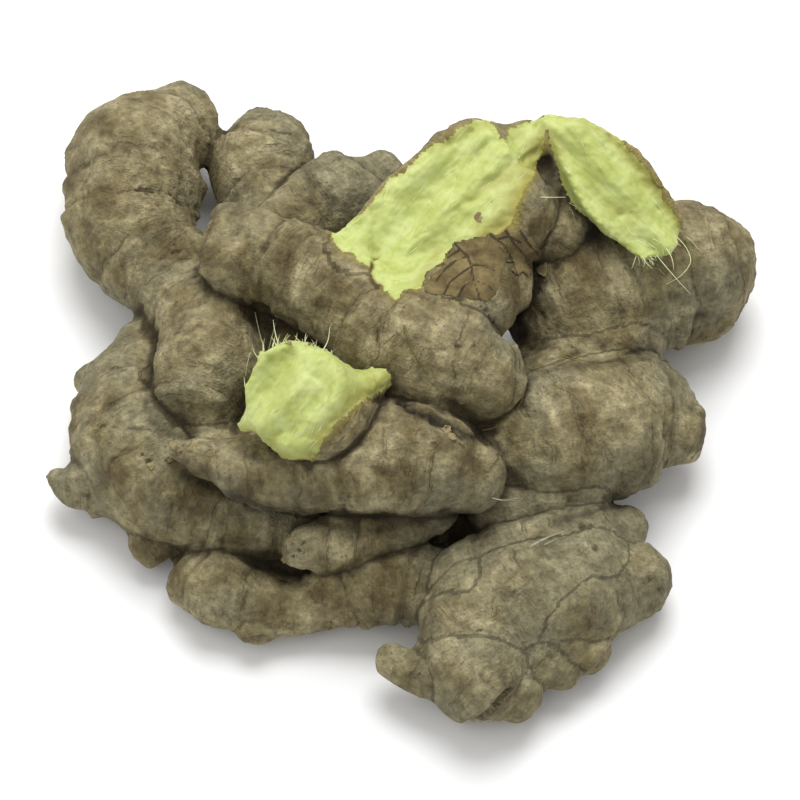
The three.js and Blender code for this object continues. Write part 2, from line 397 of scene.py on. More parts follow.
def write_positions(mesh: Mesh, points: Array) -> None:
    """Moves a mesh's vertices to points in millimetres.

    Args:
        mesh: The mesh.
        points: One row for each vertex.
    """
    mesh.vertices.foreach_set("co", (points * MM).astype(np.float32).ravel())
    mesh.update()


def read_positions(mesh: Mesh) -> Array:
    """Gives a mesh's vertices in millimetres, one row for each."""
    flat = np.empty(len(mesh.vertices) * 3, np.float32)
    mesh.vertices.foreach_get("co", flat)
    return flat.reshape(-1, 3).astype(float) / MM


def read_normals(mesh: Mesh) -> Array:
    """Gives a mesh's vertex normals, one row for each."""
    flat = np.empty(len(mesh.vertices) * 3, np.float32)
    mesh.vertex_normals.foreach_get("vector", flat)
    return flat.reshape(-1, 3).astype(float)


def read_edges(mesh: Mesh) -> Array:
    """Gives the two vertices of each of a mesh's edges."""
    flat = np.empty(len(mesh.edges) * 2, np.int32)
    mesh.edges.foreach_get("vertices", flat)
    return flat.reshape(-1, 2)


def add_attribute(mesh: Mesh, name: str, values: Array) -> None:
    """Stores a number, or a row of three, for each vertex.

    Args:
        mesh: The mesh.
        name: The attribute's name.
        values: One value or one row of three for each vertex.
    """
    kind = "FLOAT" if values.ndim == 1 else "FLOAT_VECTOR"
    key = "value" if values.ndim == 1 else "vector"
    attribute = mesh.attributes.new(name, kind, "POINT")
    attribute.data.foreach_set(key, values.astype(np.float32).ravel())


def spin_profile(shares: list[float], sides: int) -> BMesh:
    """Turns a profile about an upright line, with each station one step above the last.

    Args:
        shares: The radius at each station.
        sides: How many sides it has.

    Returns:
        The closed mesh.
    """
    mesh = bmesh.new()
    profile = [mesh.verts.new((share, 0.0, number)) for number, share in enumerate(shares)]
    edges = [mesh.edges.new(pair) for pair in zip(profile, profile[1:])]
    bmesh.ops.spin(
        mesh, geom=profile + edges, cent=(0, 0, 0), axis=(0, 0, 1),
        angle=2 * math.pi, steps=sides, use_merge=True, use_duplicate=False,
    )
    bmesh.ops.remove_doubles(mesh, verts=mesh.verts, dist=1e-5)
    return mesh


def place_verts(mesh: BMesh, points: Array) -> None:
    """Moves a mesh's vertices to points in millimetres, and turns its faces outward.

    Args:
        mesh: The mesh.
        points: One row for each vertex.
    """
    for vert, point in zip(mesh.verts, points * MM):
        vert.co = point
    bmesh.ops.recalc_face_normals(mesh, faces=mesh.faces)


def put_together(data: Mesh, parts: Iterable[BMesh]) -> None:
    """Puts small meshes together in one.

    Args:
        data: The mesh that takes them.
        parts: The small meshes, which are freed.
    """
    together = bmesh.new()
    for part in parts:
        part.to_mesh(data)
        part.free()
        together.from_mesh(data)
    together.to_mesh(data)
    together.free()


def show(name: str, data: bpy.types.ID) -> Object:
    """Makes an object of a mesh, lamp or camera, and puts it in the scene.

    Args:
        name: The object's name.
        data: The mesh, lamp or camera.

    Returns:
        The object.
    """
    made = bpy.data.objects.new(name, data)
    bpy.context.scene.collection.objects.link(made)
    return made


def neighbour_mean(points: Array, edges: Array) -> Array:
    """Averages each vertex's neighbours.

    Args:
        points: One row for each vertex.
        edges: The two vertices of each edge.

    Returns:
        The mean of the neighbours of each vertex.
    """
    count = len(points)
    ends = np.concatenate([edges[:, 0], edges[:, 1]])
    others = np.concatenate([edges[:, 1], edges[:, 0]])
    degree = np.maximum(1, np.bincount(ends, minlength=count))
    sums = [np.bincount(ends, weights=points[others, k], minlength=count) for k in range(points.shape[1])]
    return np.stack(sums, axis=1) / degree[:, None]


def from_line(start: Array, end: Array, u: Array, v: Array) -> Array:
    """Measures how far places on the sheet lie from a straight line.

    Args:
        start: The u and v of one end.
        end: The u and v of the other end.
        u: Each place's distance to the right.
        v: Each place's distance up the sheet.

    Returns:
        The distance of each place.
    """
    du, dv = end - start
    right, up = u - start[0], v - start[1]
    share = np.clip((right * du + up * dv) / (du * du + dv * dv), 0.0, 1.0)
    return np.hypot(right - share * du, up - share * dv)


def inside(outline: Outline, u: Array, v: Array) -> Array:
    """Measures how far places on the sheet lie inside an outline.

    Args:
        outline: The corners of the outline.
        u: Each place's distance to the right.
        v: Each place's distance up the sheet.

    Returns:
        The distance to the outline, below zero outside it.
    """
    corners = on_sheet(outline)
    nearest = np.full(len(u), 1e9)
    within = np.zeros(len(u), bool)
    for start, end in zip(corners, np.roll(corners, -1, axis=0)):
        nearest = np.minimum(nearest, from_line(start, end, u, v))
        du, dv = end - start
        crosses = (start[1] > v) != (end[1] > v)
        with np.errstate(divide="ignore", invalid="ignore"):
            meets = start[0] + (v - start[1]) * du / dv if dv else np.full(len(u), np.inf)
        within ^= crosses & (u < meets)
    return np.where(within, nearest, -nearest)


@dataclass(frozen=True)
class Tear:
    """Where a torn face shows its flesh: an outline on the sheet, and the fingers that it lies on."""

    outline: Outline
    fingers: tuple[str, ...]
    face: TornFace
    depth: float
    bulge: float = 0.0


@dataclass(frozen=True)
class Crack:
    """A thin split in the skin or fold in the flesh: its line on the sheet, its width and depth."""

    line: Outline
    width: float
    depth: float


@dataclass(frozen=True)
class TintLine:
    """A tint of juice, of dry skin, or of painted shade in the clefts and under overhangs: its line on the
    sheet, reach, strength and greatest height.
    """

    line: Outline
    width: float
    strength: float
    below: float = 99.0


@dataclass(frozen=True)
class Scar:
    """A round scar where a rootlet broke off: its place on the sheet, radius, rim and pit."""

    at: tuple[float, float]
    radius: float
    rim: float = 0.3
    pit: float = 0.6


@dataclass(frozen=True)
class DryEnd:
    """A dry, papery end with closed rings: its place on the sheet, reach, ring spacing and height."""

    at: tuple[float, float]
    reach: float
    spacing: float = 1.5
    height: float = 0.25


@dataclass(frozen=True)
class Mark:
    """A scar or dry end, with its place on the skin in the root's frame."""

    centre: Array
    source: Scar | DryEnd


@dataclass(frozen=True)
class Relief:
    """How far the skin stands out from the plain swept fingers, in millimetres."""

    ring_spacing: float = 12.5
    ring_stray: float = 0.22
    ring_slant: float = 0.2
    ring_warp: float = 1.6
    ring_warp_size: float = 9.0
    ring_height: float = 0.9
    lump_height: float = 1.1
    knurl_height: float = 0.45
    broad: float = 0.8
    middling: float = 0.42
    fine: float = 0.22
    wrinkle: float = 0.3


@dataclass
class Located:
    """Where each vertex lies on the finger nearest to it, in millimetres."""

    finger: Array
    along: Array
    side: Array
    rise: Array
    radius: Array
    gap: Array
    second: Array


@dataclass
class Rhizome:
    """The whole hand: swept fingers grown into one skin, with torn flesh where fingers snapped."""

    fingers: tuple[Finger, ...]
    tears: tuple[Tear, ...]
    cracks: tuple[Crack, ...]
    folds: tuple[Crack, ...]
    slit: Crack
    stains: tuple[TintLine, ...]
    painted_shade: tuple[TintLine, ...]
    dry_skin: tuple[TintLine, ...]
    scars: tuple[Scar, ...]
    dry_ends: tuple[DryEnd, ...]
    relief: Relief = Relief()
    hidden_scars: int = 46
    sides: int = 40
    voxel: float = 1.13
    cap_steps: int = 9
    rounded_above: float = 63.2
    broad_part: Outline = ((580, 580), (488, 632))
    blend_rounds: int = 3
    broad_rounds: int = 22
    smooth_rounds: int = 3
    crease_rounds: int = 24
    crease_pull: float = 0.7
    paths: list[Path] = field(init=False)
    marks: list[Mark] = field(init=False, default_factory=list)

    def __post_init__(self) -> None:
        """Runs a path through each finger's spine."""
        self.paths = [Path(finger) for finger in self.fingers]

    def lump_at(self, points: Array) -> Array:
        """Gives the broad lumps and knurls that the solid has too.

        Args:
            points: One row for each place.

        Returns:
            A height for each place.
        """
        x, y, z = points.T
        broad = np.sin(0.17 * x + 0.6) * np.sin(0.19 * y + 2.1) + np.sin(0.21 * z + 0.16 * x)
        fine = np.sin(0.52 * x + 0.31 * y) * np.sin(0.47 * z - 0.38 * y + 1.4)
        return 0.5 * self.relief.lump_height * broad + self.relief.knurl_height * fine

    def sweep(self, path: Path) -> BMesh:
        """Turns a finger about a straight line, then bends it along its path.

        Args:
            path: The finger's path.

        Returns:
            A closed mesh in metres.
        """
        turns = np.linspace(0.0, math.pi / 2, self.cap_steps + 1)[:-1]
        start, end = path.radii[0], path.radii[-1]
        last = len(path.lengths) - 1
        stations = [(0, -start * math.cos(t), math.sin(t)) for t in turns]
        stations += [(i, 0.0, 1.0) for i in range(last + 1)]
        stations += [(last, end * math.cos(t), math.sin(t)) for t in turns[::-1]]
        mesh = spin_profile([share for *_, share in stations], self.sides)
        flat = np.array([vert.co for vert in mesh.verts])
        number = np.rint(flat[:, 2]).astype(int)
        index = np.array([i for i, _, _ in stations])[number]
        past = np.array([reach for _, reach, _ in stations])[number]
        side, rise = path.turned()
        across = flat[:, :1] * side[index] + flat[:, 1:2] * rise[index]
        radius = path.radii[index]
        points = path.centres[index] + past[:, None] * path.tangents[index] + radius[:, None] * across
        points += across * (self.lump_at(points) * np.minimum(1.0, radius / 8.0))[:, None]
        if path.finger.torn:
            points = self.tear_open(points, path.finger.torn)
        place_verts(mesh, points)
        return mesh

    @staticmethod
    def tear_open(points: Array, face: TornFace) -> Array:
        """Flattens what lies beyond a torn face onto it, with ridges that follow the fibres.

        Args:
            points: One row for each place.
            face: The torn face.

        Returns:
            The places after the tear.
        """
        along, across, out = face.local(points).T
        rough = 0.9 * np.sin(0.55 * across + 0.08 * along)
        rough += 0.6 * np.sin(0.31 * along + 0.9 * across + 1.2)
        return points - np.maximum(0.0, out - rough)[:, None] * SHEET.direction(*face.normal)

    def grow_together(self) -> Mesh:
        """Sweeps every finger, and joins them all into one closed skin.

        Returns:
            The joined mesh, in metres.
        """
        raw = bpy.data.meshes.new("swept_fingers")
        put_together(raw, (self.sweep(path) for path in self.paths))
        holder = show("swept_fingers", raw)
        joiner = holder.modifiers.new("join", "REMESH")
        joiner.mode = "VOXEL"
        joiner.voxel_size = self.voxel * MM
        joiner.adaptivity = 0.0
        depsgraph = bpy.context.evaluated_depsgraph_get()
        joined = bpy.data.meshes.new_from_object(holder.evaluated_get(depsgraph))
        bpy.data.objects.remove(holder)
        bpy.data.meshes.remove(raw)
        joined.name = "ginger_skin"
        self.keep_outer_skin(joined)
        return joined

    @staticmethod
    def keep_outer_skin(mesh: Mesh) -> None:
        """Drops the hollows that are sealed inside the mesh.

        Args:
            mesh: The joined mesh.
        """
        work = bmesh.new()
        work.from_mesh(mesh)
        seen: set[int] = set()
        shells: list[list[BMVert]] = []
        for vert in work.verts:
            if vert.index in seen:
                continue
            seen.add(vert.index)
            shell, waiting = [], [vert]
            while waiting:
                here = waiting.pop()
                shell.append(here)
                for edge in here.link_edges:
                    other = edge.other_vert(here)
                    if other.index not in seen:
                        seen.add(other.index)
                        waiting.append(other)
            shells.append(shell)
        shells.sort(key=len)
        for shell in shells[:-1]:
            bmesh.ops.delete(work, geom=shell, context="VERTS")
        work.to_mesh(mesh)
        work.free()

    def locate(self, points: Array) -> Located:
        """Finds the finger nearest to each place, and where on it the place lies.

        Args:
            points: One row for each place.

        Returns:
            Each place's finger, its distance along it, and so on.
        """
        count = len(points)
        found = Located(*(np.zeros(count) for _ in range(5)), np.full(count, 1e9), np.full(count, 1e9))
        found.finger = np.zeros(count, int)
        for number, path in enumerate(self.paths):
            reach = path.radii.max() + 6.0
            low, high = path.centres.min(axis=0) - reach, path.centres.max(axis=0) + reach
            near = np.flatnonzero(np.all((points > low) & (points < high), axis=1))
            side, rise = path.turned()
            for part in np.array_split(near, max(1, len(near) // 20000)):
                here = points[part]
                span = np.linalg.norm(here[:, None, :] - path.centres[None], axis=2) - path.radii
                index = span.argmin(axis=1)
                gap = span[np.arange(len(part)), index]
                local = here - path.centres[index]
                closer = gap < found.gap[part]
                found.second[part] = np.where(closer, found.gap[part], np.minimum(found.second[part], gap))
                take = part[closer]
                index, local = index[closer], local[closer]
                found.gap[take] = gap[closer]
                found.finger[take] = number
                found.along[take] = path.lengths[index] + np.einsum("ij,ij->i", local, path.tangents[index])
                found.side[take] = np.einsum("ij,ij->i", local, side[index])
                found.rise[take] = np.einsum("ij,ij->i", local, rise[index])
                found.radius[take] = path.radii[index]
        return found

    def ring_phase(self, place: Located, points: Array) -> Array:
        """Counts the rings from each finger's tip, with a whole number on each ring.

        Args:
            place: Where each vertex lies.
            points: One row for each vertex.

        Returns:
            The count at each vertex.
        """
        warp = self.relief.ring_warp * Noise(SEED + 3).layered(points, self.relief.ring_warp_size, 2)
        phase = np.zeros(len(place.along))
        for number, path in enumerate(self.paths):
            here = np.flatnonzero(place.finger == number)
            if not len(here):
                continue
            length = path.lengths[-1]
            rings = max(1, round(length / self.relief.ring_spacing))
            spacing = length / rings
            steps = np.arange(-3, rings + 3)
            stray = self.relief.ring_stray * np.sin(2.4 * steps + length)
            middles = (steps + 0.5 + stray) * spacing
            wide = np.maximum(1e-3, np.hypot(place.side[here], place.rise[here]))
            lean = 0.07 * place.along[here] + length
            tilt = (place.side[here] * np.cos(lean) + place.rise[here] * np.sin(lean)) / wide
            along = place.along[here] - self.relief.ring_slant * tilt * place.radius[here] + warp[here]
            phase[here] = np.interp(along, middles, steps)
        return phase

    def merge_palms(self, points: Array, normals: Array, edges: Array) -> Array:
        """Fills the sharp valleys between fingers, as growth does, and leaves the ridges alone.

        Args:
            points: One row for each vertex.
            normals: Each vertex's outward direction.
            edges: The two vertices of each edge.

        Returns:
            The softened places.
        """
        broad = self.broad_share(points)
        for turn in range(self.broad_rounds):
            pull = neighbour_mean(points, edges) - points
            hollow = np.einsum("ij,ij->i", pull, normals)
            weight = np.clip(hollow * 10.0, 0.06, 0.8)
            points = points + pull * (weight if turn < self.blend_rounds else weight * broad)[:, None]
        return points

    def broad_share(self, points: Array) -> Array:
        """Tells how far each place lies in the foot, whose fingers have grown into one mass."""
        return np.clip(2.2 - self.away_from(self.broad_part, points) / 11.0, 0.0, 1.0)

    def skin_relief(self, points: Array, place: Located, phase: Array) -> Array:
        """Works out how far each place stands out: rings, lumps, wrinkles and fine knurls.

        Args:
            points: One row for each vertex.
            place: Where each vertex lies.
            phase: The ring count at each vertex.

        Returns:
            The height of the relief at each vertex.
        """
        size = self.relief
        noise = Noise(SEED)
        off = (phase - np.rint(phase)) * size.ring_spacing
        ridge = np.where(off < 0, np.exp(-((off / 0.9) ** 2)), np.exp(-((off / 2.6) ** 2)))
        trough = np.exp(-(((off + 1.6) / 0.9) ** 2))
        strength = np.clip(0.75 + 0.9 * noise.at(points + 40.0, 16.0), 0.15, 1.3)
        palm = np.array([path.finger.growth is Growth.PALM for path in self.paths])[place.finger]
        strength *= np.where(palm, 0.5, 1.0) * np.clip((place.second + 0.5) / 2.0, 0.25, 1.0)
        height = size.ring_height * strength * (ridge - 0.45 * trough)
        grain = self.grain(place)
        height += size.broad * noise.layered(points, 15.0, 2)
        height += size.middling * noise.layered(points + 7.0, 5.5, 2)
        height += size.fine * noise.layered(points + 3.0, 2.2, 1)
        lengthwise = Noise(SEED + 1).layered(grain * [0.12, 0.55, 0.55], 1.0, 2)
        crosswise = Noise(SEED + 2).layered(grain * [0.5, 0.08, 0.08], 1.0, 2)
        height += size.wrinkle * (lengthwise + 0.9 * crosswise)
        settled = np.clip((place.second - place.gap) / 3.0, 0.0, 1.0)
        return height * settled * np.clip(place.radius / 7.0, 0.35, 1.0)

    @staticmethod
    def grain(place: Located) -> Array:
        """Gives coordinates that follow each finger: along it, sideways and up."""
        return np.stack([place.along + 37.0 * place.finger, place.side, place.rise], axis=1)

    def tear_depth(self, tear: Tear, points: Array, finger: Array) -> Array:
        """Measures how far each place lies inside a torn face's ragged edge.

        Args:
            tear: The torn face.
            points: One row for each place.
            finger: The number of the finger that each place lies on.

        Returns:
            The distance inside the edge, below zero outside it.
        """
        u, v, _ = SHEET.flatten(points)
        ragged = 0.9 * Noise(SEED + 5).at(points, 2.6) + 0.45 * Noise(SEED + 6).at(points, 1.1)
        depth = inside(tear.outline, u, v) + ragged
        names = [path.finger.name for path in self.paths]
        allowed = np.array([name in tear.fingers for name in names])[finger]
        low = tear.face.local(points)[:, 2] < -tear.depth
        return np.where(allowed & ~low, depth, -9.0)

    def tear_depths(self, points: Array, finger: Array) -> Array:
        """Measures how far each place lies inside each torn face, one row for each face."""
        return np.stack([self.tear_depth(tear, points, finger) for tear in self.tears])

    def flesh_relief(self, tear: Tear, points: Array, depth: Array) -> Array:
        """Works out the torn surface: fibre ridges, broken steps and fine fluff.

        Args:
            tear: The torn face.
            points: One row for each place.
            depth: How far each place lies inside the torn edge.

        Returns:
            How far each place stands out along the face's normal.
        """
        local = tear.face.local(points)
        ridges = Noise(SEED + 7).layered(local * [0.08, 0.3, 0.3], 1.0, 3)
        chunk = Noise(SEED + 8).layered(local * [0.1, 0.14, 0.1], 1.0, 2)
        steps = 0.4 * np.floor(chunk * 3.0) / 3.0 + 0.6 * chunk
        fluff = Noise(SEED + 9).layered(points, 1.6, 3)
        inner = np.clip(depth / 1.6, 0.0, 1.0)
        bulge = tear.bulge * (1.0 - np.clip(1.0 - depth / 9.0, 0.0, 1.0) ** 2)
        rough = 0.6 * ridges + 1.2 * steps + 0.22 * fluff
        return inner * rough - 0.3 * np.clip(depth, 0.0, 0.5) + bulge

    def strand_grain(self, points: Array, depths: Array) -> Array:
        """Gives coordinates that follow the fibres of the nearest torn face: along, across and out.

        Args:
            points: One row for each vertex.
            depths: How far inside each torn face each vertex lies, one row for each face.

        Returns:
            The three coordinates at each vertex.
        """
        nearest = depths.argmax(axis=0)
        grain = np.zeros_like(points)
        for number, tear in enumerate(self.tears):
            here = nearest == number
            grain[here] = tear.face.local(points[here])
        return grain

    @staticmethod
    def away_from(line: Outline, points: Array) -> Array:
        """Measures each place's distance on the sheet from a line.

        Args:
            line: The line's corners.
            points: One row for each place.

        Returns:
            The distance of each place.
        """
        u, v, _ = SHEET.flatten(points)
        corners = on_sheet(line)
        return np.min([from_line(*ends, u, v) for ends in zip(corners, corners[1:])], axis=0)

    def crack_shade(
        self, cracks: tuple[Crack, ...], points: Array, front: Array
    ) -> tuple[Array, Array]:
        """Measures how strongly each place lies in a crack, and how deep the crack is there.

        Args:
            cracks: The cracks.
            points: One row for each vertex.
            front: How much each place faces the viewer of the sheet.

        Returns:
            The share from 0 to 1, and the depth, at each vertex.
        """
        wander = 0.45 * Noise(SEED + 10).layered(points, 3.0, 3)
        fade = np.clip(0.8 + 0.9 * Noise(SEED + 12).layered(points, 4.5, 2), 0.1, 1.0)
        share = np.zeros(len(points))
        depth = np.zeros(len(points))
        for crack in cracks:
            away = self.away_from(crack.line, points) + wander * min(1.0, 2.5 * crack.width)
            here = np.exp(-((away / crack.width) ** 2)) * (front > 0.1)
            depth = np.maximum(depth, here * crack.depth * fade)
            share = np.maximum(share, here * fade)
        return share, depth

    def tint_share(self, stains: tuple[TintLine, ...], points: Array, front: Array) -> Array:
        """Measures how strongly the root is tinted at each place.

        Args:
            stains: The tint lines: juice, dry skin and painted shade alike.
            points: One row for each vertex.
            front: How much each place faces the viewer of the sheet.

        Returns:
            The share at each vertex.
        """
        stray = 0.35 * Noise(SEED + 13).layered(points, 2.6, 3)
        share = np.zeros(len(points))
        for stain in stains:
            away = self.away_from(stain.line, points) / stain.width + stray
            low = np.clip((stain.below - points[:, 2]) / 4.0, 0.0, 1.0)
            share = np.maximum(share, stain.strength * np.exp(-np.abs(away) ** 2) * low * (front > 0.0))
        return share

    def set_marks(self, points: Array, front: Array) -> None:
        """Finds where each scar and dry end lies, and scatters more scars where the viewer sees none.

        Args:
            points: One row for each vertex.
            front: How much each vertex faces the viewer of the sheet.
        """
        u, v, near = SHEET.flatten(points)
        for source in self.scars + self.dry_ends:
            at = on_sheet(source.at)
            away = np.hypot(u - at[0], v - at[1])
            score = np.where(away < 1.6, near, -1e3 - away)
            self.marks.append(Mark(points[score.argmax()], source))
        random = np.random.default_rng(SEED)
        hidden = np.flatnonzero((front < 0.25) & (points[:, 2] > 3.0))
        for index in random.choice(hidden, self.hidden_scars, replace=False):
            radius = random.uniform(0.8, 1.7)
            self.marks.append(Mark(points[index], Scar((0.0, 0.0), radius, 0.25 * radius, 0.45 * radius)))

    def mark_relief(self, points: Array) -> tuple[Array, Array, Array, Array]:
        """Works out the scars and dry ends.

        Args:
            points: One row for each vertex.

        Returns:
            The height and the shares of scar, of dry skin and of its dark grooves at each vertex.
        """
        height, scarred, dry, groove = (np.zeros(len(points)) for _ in range(4))
        stray = 0.6 * Noise(SEED + 11).layered(points, 2.6, 3)
        for mark in self.marks:
            away = np.linalg.norm(points - mark.centre, axis=1) + stray
            if isinstance(mark.source, Scar):
                r = mark.source.radius
                pit = np.exp(-((away / (0.75 * r)) ** 2))
                height += mark.source.rim * np.exp(-(((away - r) / (0.4 * r)) ** 2)) - mark.source.pit * pit
                scarred = np.maximum(scarred, pit)
                continue
            share = np.clip(1.3 * (1.0 - away / mark.source.reach), 0.0, 1.0)
            wave = np.cos(2 * math.pi * away / mark.source.spacing)
            height += share * mark.source.height * wave
            dry = np.maximum(dry, share)
            groove = np.maximum(groove, share * np.clip(-wave + stray, 0.0, 1.0) ** 2)
        return height, scarred, dry, groove

    def build(self, skin: Material, flesh: Material) -> Object:
        """Builds the whole root as one closed mesh in two materials.

        Args:
            skin: The material of the skin.
            flesh: The material of the torn flesh.

        Returns:
            The finished object.
        """
        mesh = self.grow_together()
        log.info("joined skin: %d vertices", len(mesh.vertices))
        points, normals, edges = read_positions(mesh), read_normals(mesh), read_edges(mesh)
        for _ in range(self.smooth_rounds):
            points += 0.5 * (neighbour_mean(points, edges) - points)
        points = self.merge_palms(points, normals, edges)
        write_positions(mesh, points)
        normals = read_normals(mesh)
        place = self.locate(points)
        phase = self.ring_phase(place, points)
        depths = self.tear_depths(points, place.finger)
        skinned = np.clip(-depths.max(axis=0) / 1.5, 0.0, 1.0)
        height = self.skin_relief(points, place, phase) * skinned
        write_positions(mesh, points + normals * height[:, None])
        self.refine(mesh)
        return self.finish(mesh, skin, flesh)

    def refine(self, mesh: Mesh) -> None:
        """Cuts the faces near torn flesh and cracks finer, so that they can hold more detail.

        Args:
            mesh: The skin's mesh.
        """
        points = read_positions(mesh)
        front = read_normals(mesh) @ SHEET.direction(0, 0, 1)
        self.set_marks(points, front)
        place = self.locate(points)
        depths = self.tear_depths(points, place.finger).max(axis=0)
        share, _ = self.crack_shade(self.cracks, points, front)
        _, scarred, dry, _ = self.mark_relief(points)
        seen = (front > 0.2) & (depths > -0.9)
        wanted = seen | (share > 0.25) | (scarred > 0.08) | (dry > 0.15)
        work = bmesh.new()
        work.from_mesh(mesh)
        work.verts.ensure_lookup_table()
        edges = [edge for edge in work.edges if wanted[edge.verts[0].index] and wanted[edge.verts[1].index]]
        bmesh.ops.subdivide_edges(work, edges=edges, cuts=1, use_grid_fill=True)
        work.to_mesh(mesh)
        work.free()
        log.info("refined skin: %d vertices", len(mesh.vertices))

    def finish(self, mesh: Mesh, skin: Material, flesh: Material) -> Object:
        """Carves the flesh and cracks, stores what the materials read, and makes the object.

        Args:
            mesh: The refined mesh.
            skin: The material of the skin.
            flesh: The material of the torn flesh.

        Returns:
            The finished object.
        """
        points, normals = read_positions(mesh), read_normals(mesh)
        near = SHEET.direction(0, 0, 1)
        place = self.locate(points)
        depths = self.tear_depths(points, place.finger)
        moved = points.copy()
        for tear, depth in zip(self.tears, depths):
            out = SHEET.direction(*tear.face.normal)
            rise = self.flesh_relief(tear, points, depth)
            moved += np.where(depth > 0, rise, 0.0)[:, None] * out
        depth = depths.max(axis=0)
        lip = 0.35 * np.exp(-(((depth + 0.5) / 0.5) ** 2))
        front = normals @ near
        share, deep = self.crack_shade(self.cracks, points, front)
        slit, slit_deep = self.crack_shade((self.slit,), points, front)
        _, folded = self.crack_shade(self.folds, points, front)
        marked, scarred, dry, groove = self.mark_relief(points)
        ragged = 0.55 * Noise(SEED + 21).layered(points, 2.4, 3) * np.exp(-((depth - 0.8) / 1.6) ** 2)
        in_flesh = ragged - folded
        moved += normals * (lip - slit_deep + np.where(depth < 0, marked - deep, in_flesh))[:, None]
        high = np.maximum(moved[:, 2] - self.rounded_above, 0.0)
        moved[:, 2] = np.maximum(moved[:, 2], 0.0) - high + 2.0 * (1.0 - np.exp(-high / 2.0))
        write_positions(mesh, moved)
        edges = read_edges(mesh)
        smooth = moved
        for _ in range(self.crease_rounds):
            smooth = smooth + self.crease_pull * (neighbour_mean(smooth, edges) - smooth)
        hollow = np.einsum("ij,ij->i", smooth - moved, read_normals(mesh))
        add_attribute(mesh, "ring_phase", self.ring_phase(place, points))
        add_attribute(mesh, "grain", self.grain(place) * MM)
        add_attribute(mesh, "tear", np.clip(depth, -9.0, 9.0))
        # How hollow each place is, which the materials darken as dirt and painted shade; less so in the
        # foot.
        crease = np.clip(hollow, -2.0, 3.0) * (1.0 - 0.75 * self.broad_share(points))
        add_attribute(mesh, "crease", crease)
        add_attribute(mesh, "crack", np.maximum(slit, share * (depth < 0)))
        add_attribute(mesh, "stain", self.tint_share(self.stains, points, front))
        # Painted shade in the clefts and under overhangs, laid along lines on the sheet.
        add_attribute(mesh, "painted_shade", self.tint_share(self.painted_shade, points, front + 0.5))
        add_attribute(mesh, "joint", np.clip(place.second - place.gap, 0.0, 9.0))
        add_attribute(mesh, "scar", scarred)
        add_attribute(mesh, "dry", np.maximum(dry, self.tint_share(self.dry_skin, points, front)))
        add_attribute(mesh, "groove", groove)
        add_attribute(mesh, "strand", self.strand_grain(points, depths) * MM)
        faces = np.empty(len(mesh.polygons), np.int32)
        starts = np.empty(len(mesh.polygons), np.int32)
        mesh.polygons.foreach_get("loop_start", starts)
        corners = np.empty(len(mesh.loops), np.int32)
        mesh.loops.foreach_get("vertex_index", corners)
        faces[:] = np.add.reduceat(depth[corners], starts) > 0
        mesh.materials.append(skin)
        mesh.materials.append(flesh)
        mesh.polygons.foreach_set("material_index", faces)
        mesh.polygons.foreach_set("use_smooth", np.ones(len(mesh.polygons), bool))
        mesh.update()
        return show("ginger_skin", mesh)


FLESH_LOBES: tuple[Finger, ...] = (
    Finger("lobe_left", ((-38, -5.8, 49, 2.4), (-34, -3.5, 50, 5.5), (-27, -1, 50, 8))),
    Finger("lobe_low", ((-26, -10.4, 49, 4.6), (-25.5, -6, 49, 7))),
    Finger("lobe_spike", ((-25.2, 13.8, 54, 0.9), (-25.3, 10.5, 53, 2.8), (-25, 5, 51, 6))),
    Finger("lobe_high", ((-34.6, 11.8, 54, 1.2), (-33, 8.5, 53, 3.6), (-29, 4, 51, 6))),
    Finger("lobe_right", ((-2.2, 6.2, 49, 1.2), (-6, 4.4, 49, 3.4), (-12, 1, 49, 5))),
)

TEARS: tuple[Tear, ...] = (
    Tear((
        (330, 233), (342, 226), (352, 219), (368, 205), (387, 188), (402, 171), (420, 157), (436, 147),
        (450, 136), (464, 127), (478, 118), (487, 118), (492, 128), (503, 139), (509, 133), (516, 126),
        (530, 121), (541, 117), (547, 132), (543, 150), (538, 166), (532, 180), (524, 193), (517, 205),
        (512, 217), (508, 230), (497, 234), (485, 236), (473, 240), (462, 244), (452, 250), (441, 259),
        (434, 269), (426, 278), (419, 290), (410, 288), (403, 291), (398, 299), (393, 303), (390, 294),
        (383, 290), (377, 284), (372, 276), (367, 266), (358, 262), (347, 256), (339, 246),
    ), ("snapped_finger", "middle_finger", "middle_palm", "slab_hinge", "torn_slab"),
        SNAPPED_FINGER_FACE, 9.0),
    Tear((
        (539, 116), (552, 112), (566, 109), (585, 113), (601, 122), (616, 135), (631, 152), (646, 171),
        (660, 191), (671, 210), (684, 232), (690, 246), (672, 264), (650, 270), (625, 266), (605, 250),
        (592, 230), (575, 220), (556, 208), (543, 180), (538, 150),
    ), ("torn_slab",), TORN_SLAB_FACE, 10.0),
    Tear((
        (234, 424), (236, 405), (241, 388), (250, 370), (258, 355), (260, 337), (278, 334), (292, 346),
        (299, 330), (310, 346), (333, 350), (346, 353), (352, 364), (371, 362), (388, 366), (404, 379),
        (383, 387), (366, 397), (351, 411), (336, 428), (322, 440), (317, 454), (306, 466), (290, 466),
        (274, 458), (268, 444), (256, 445), (240, 438),
    ), ("snapped_stub", "stub_flap", "lobe_left", "lobe_low", "lobe_spike", "lobe_high", "lobe_right"),
        SNAPPED_STUB_FACE, 22.0, bulge=1.0),
)

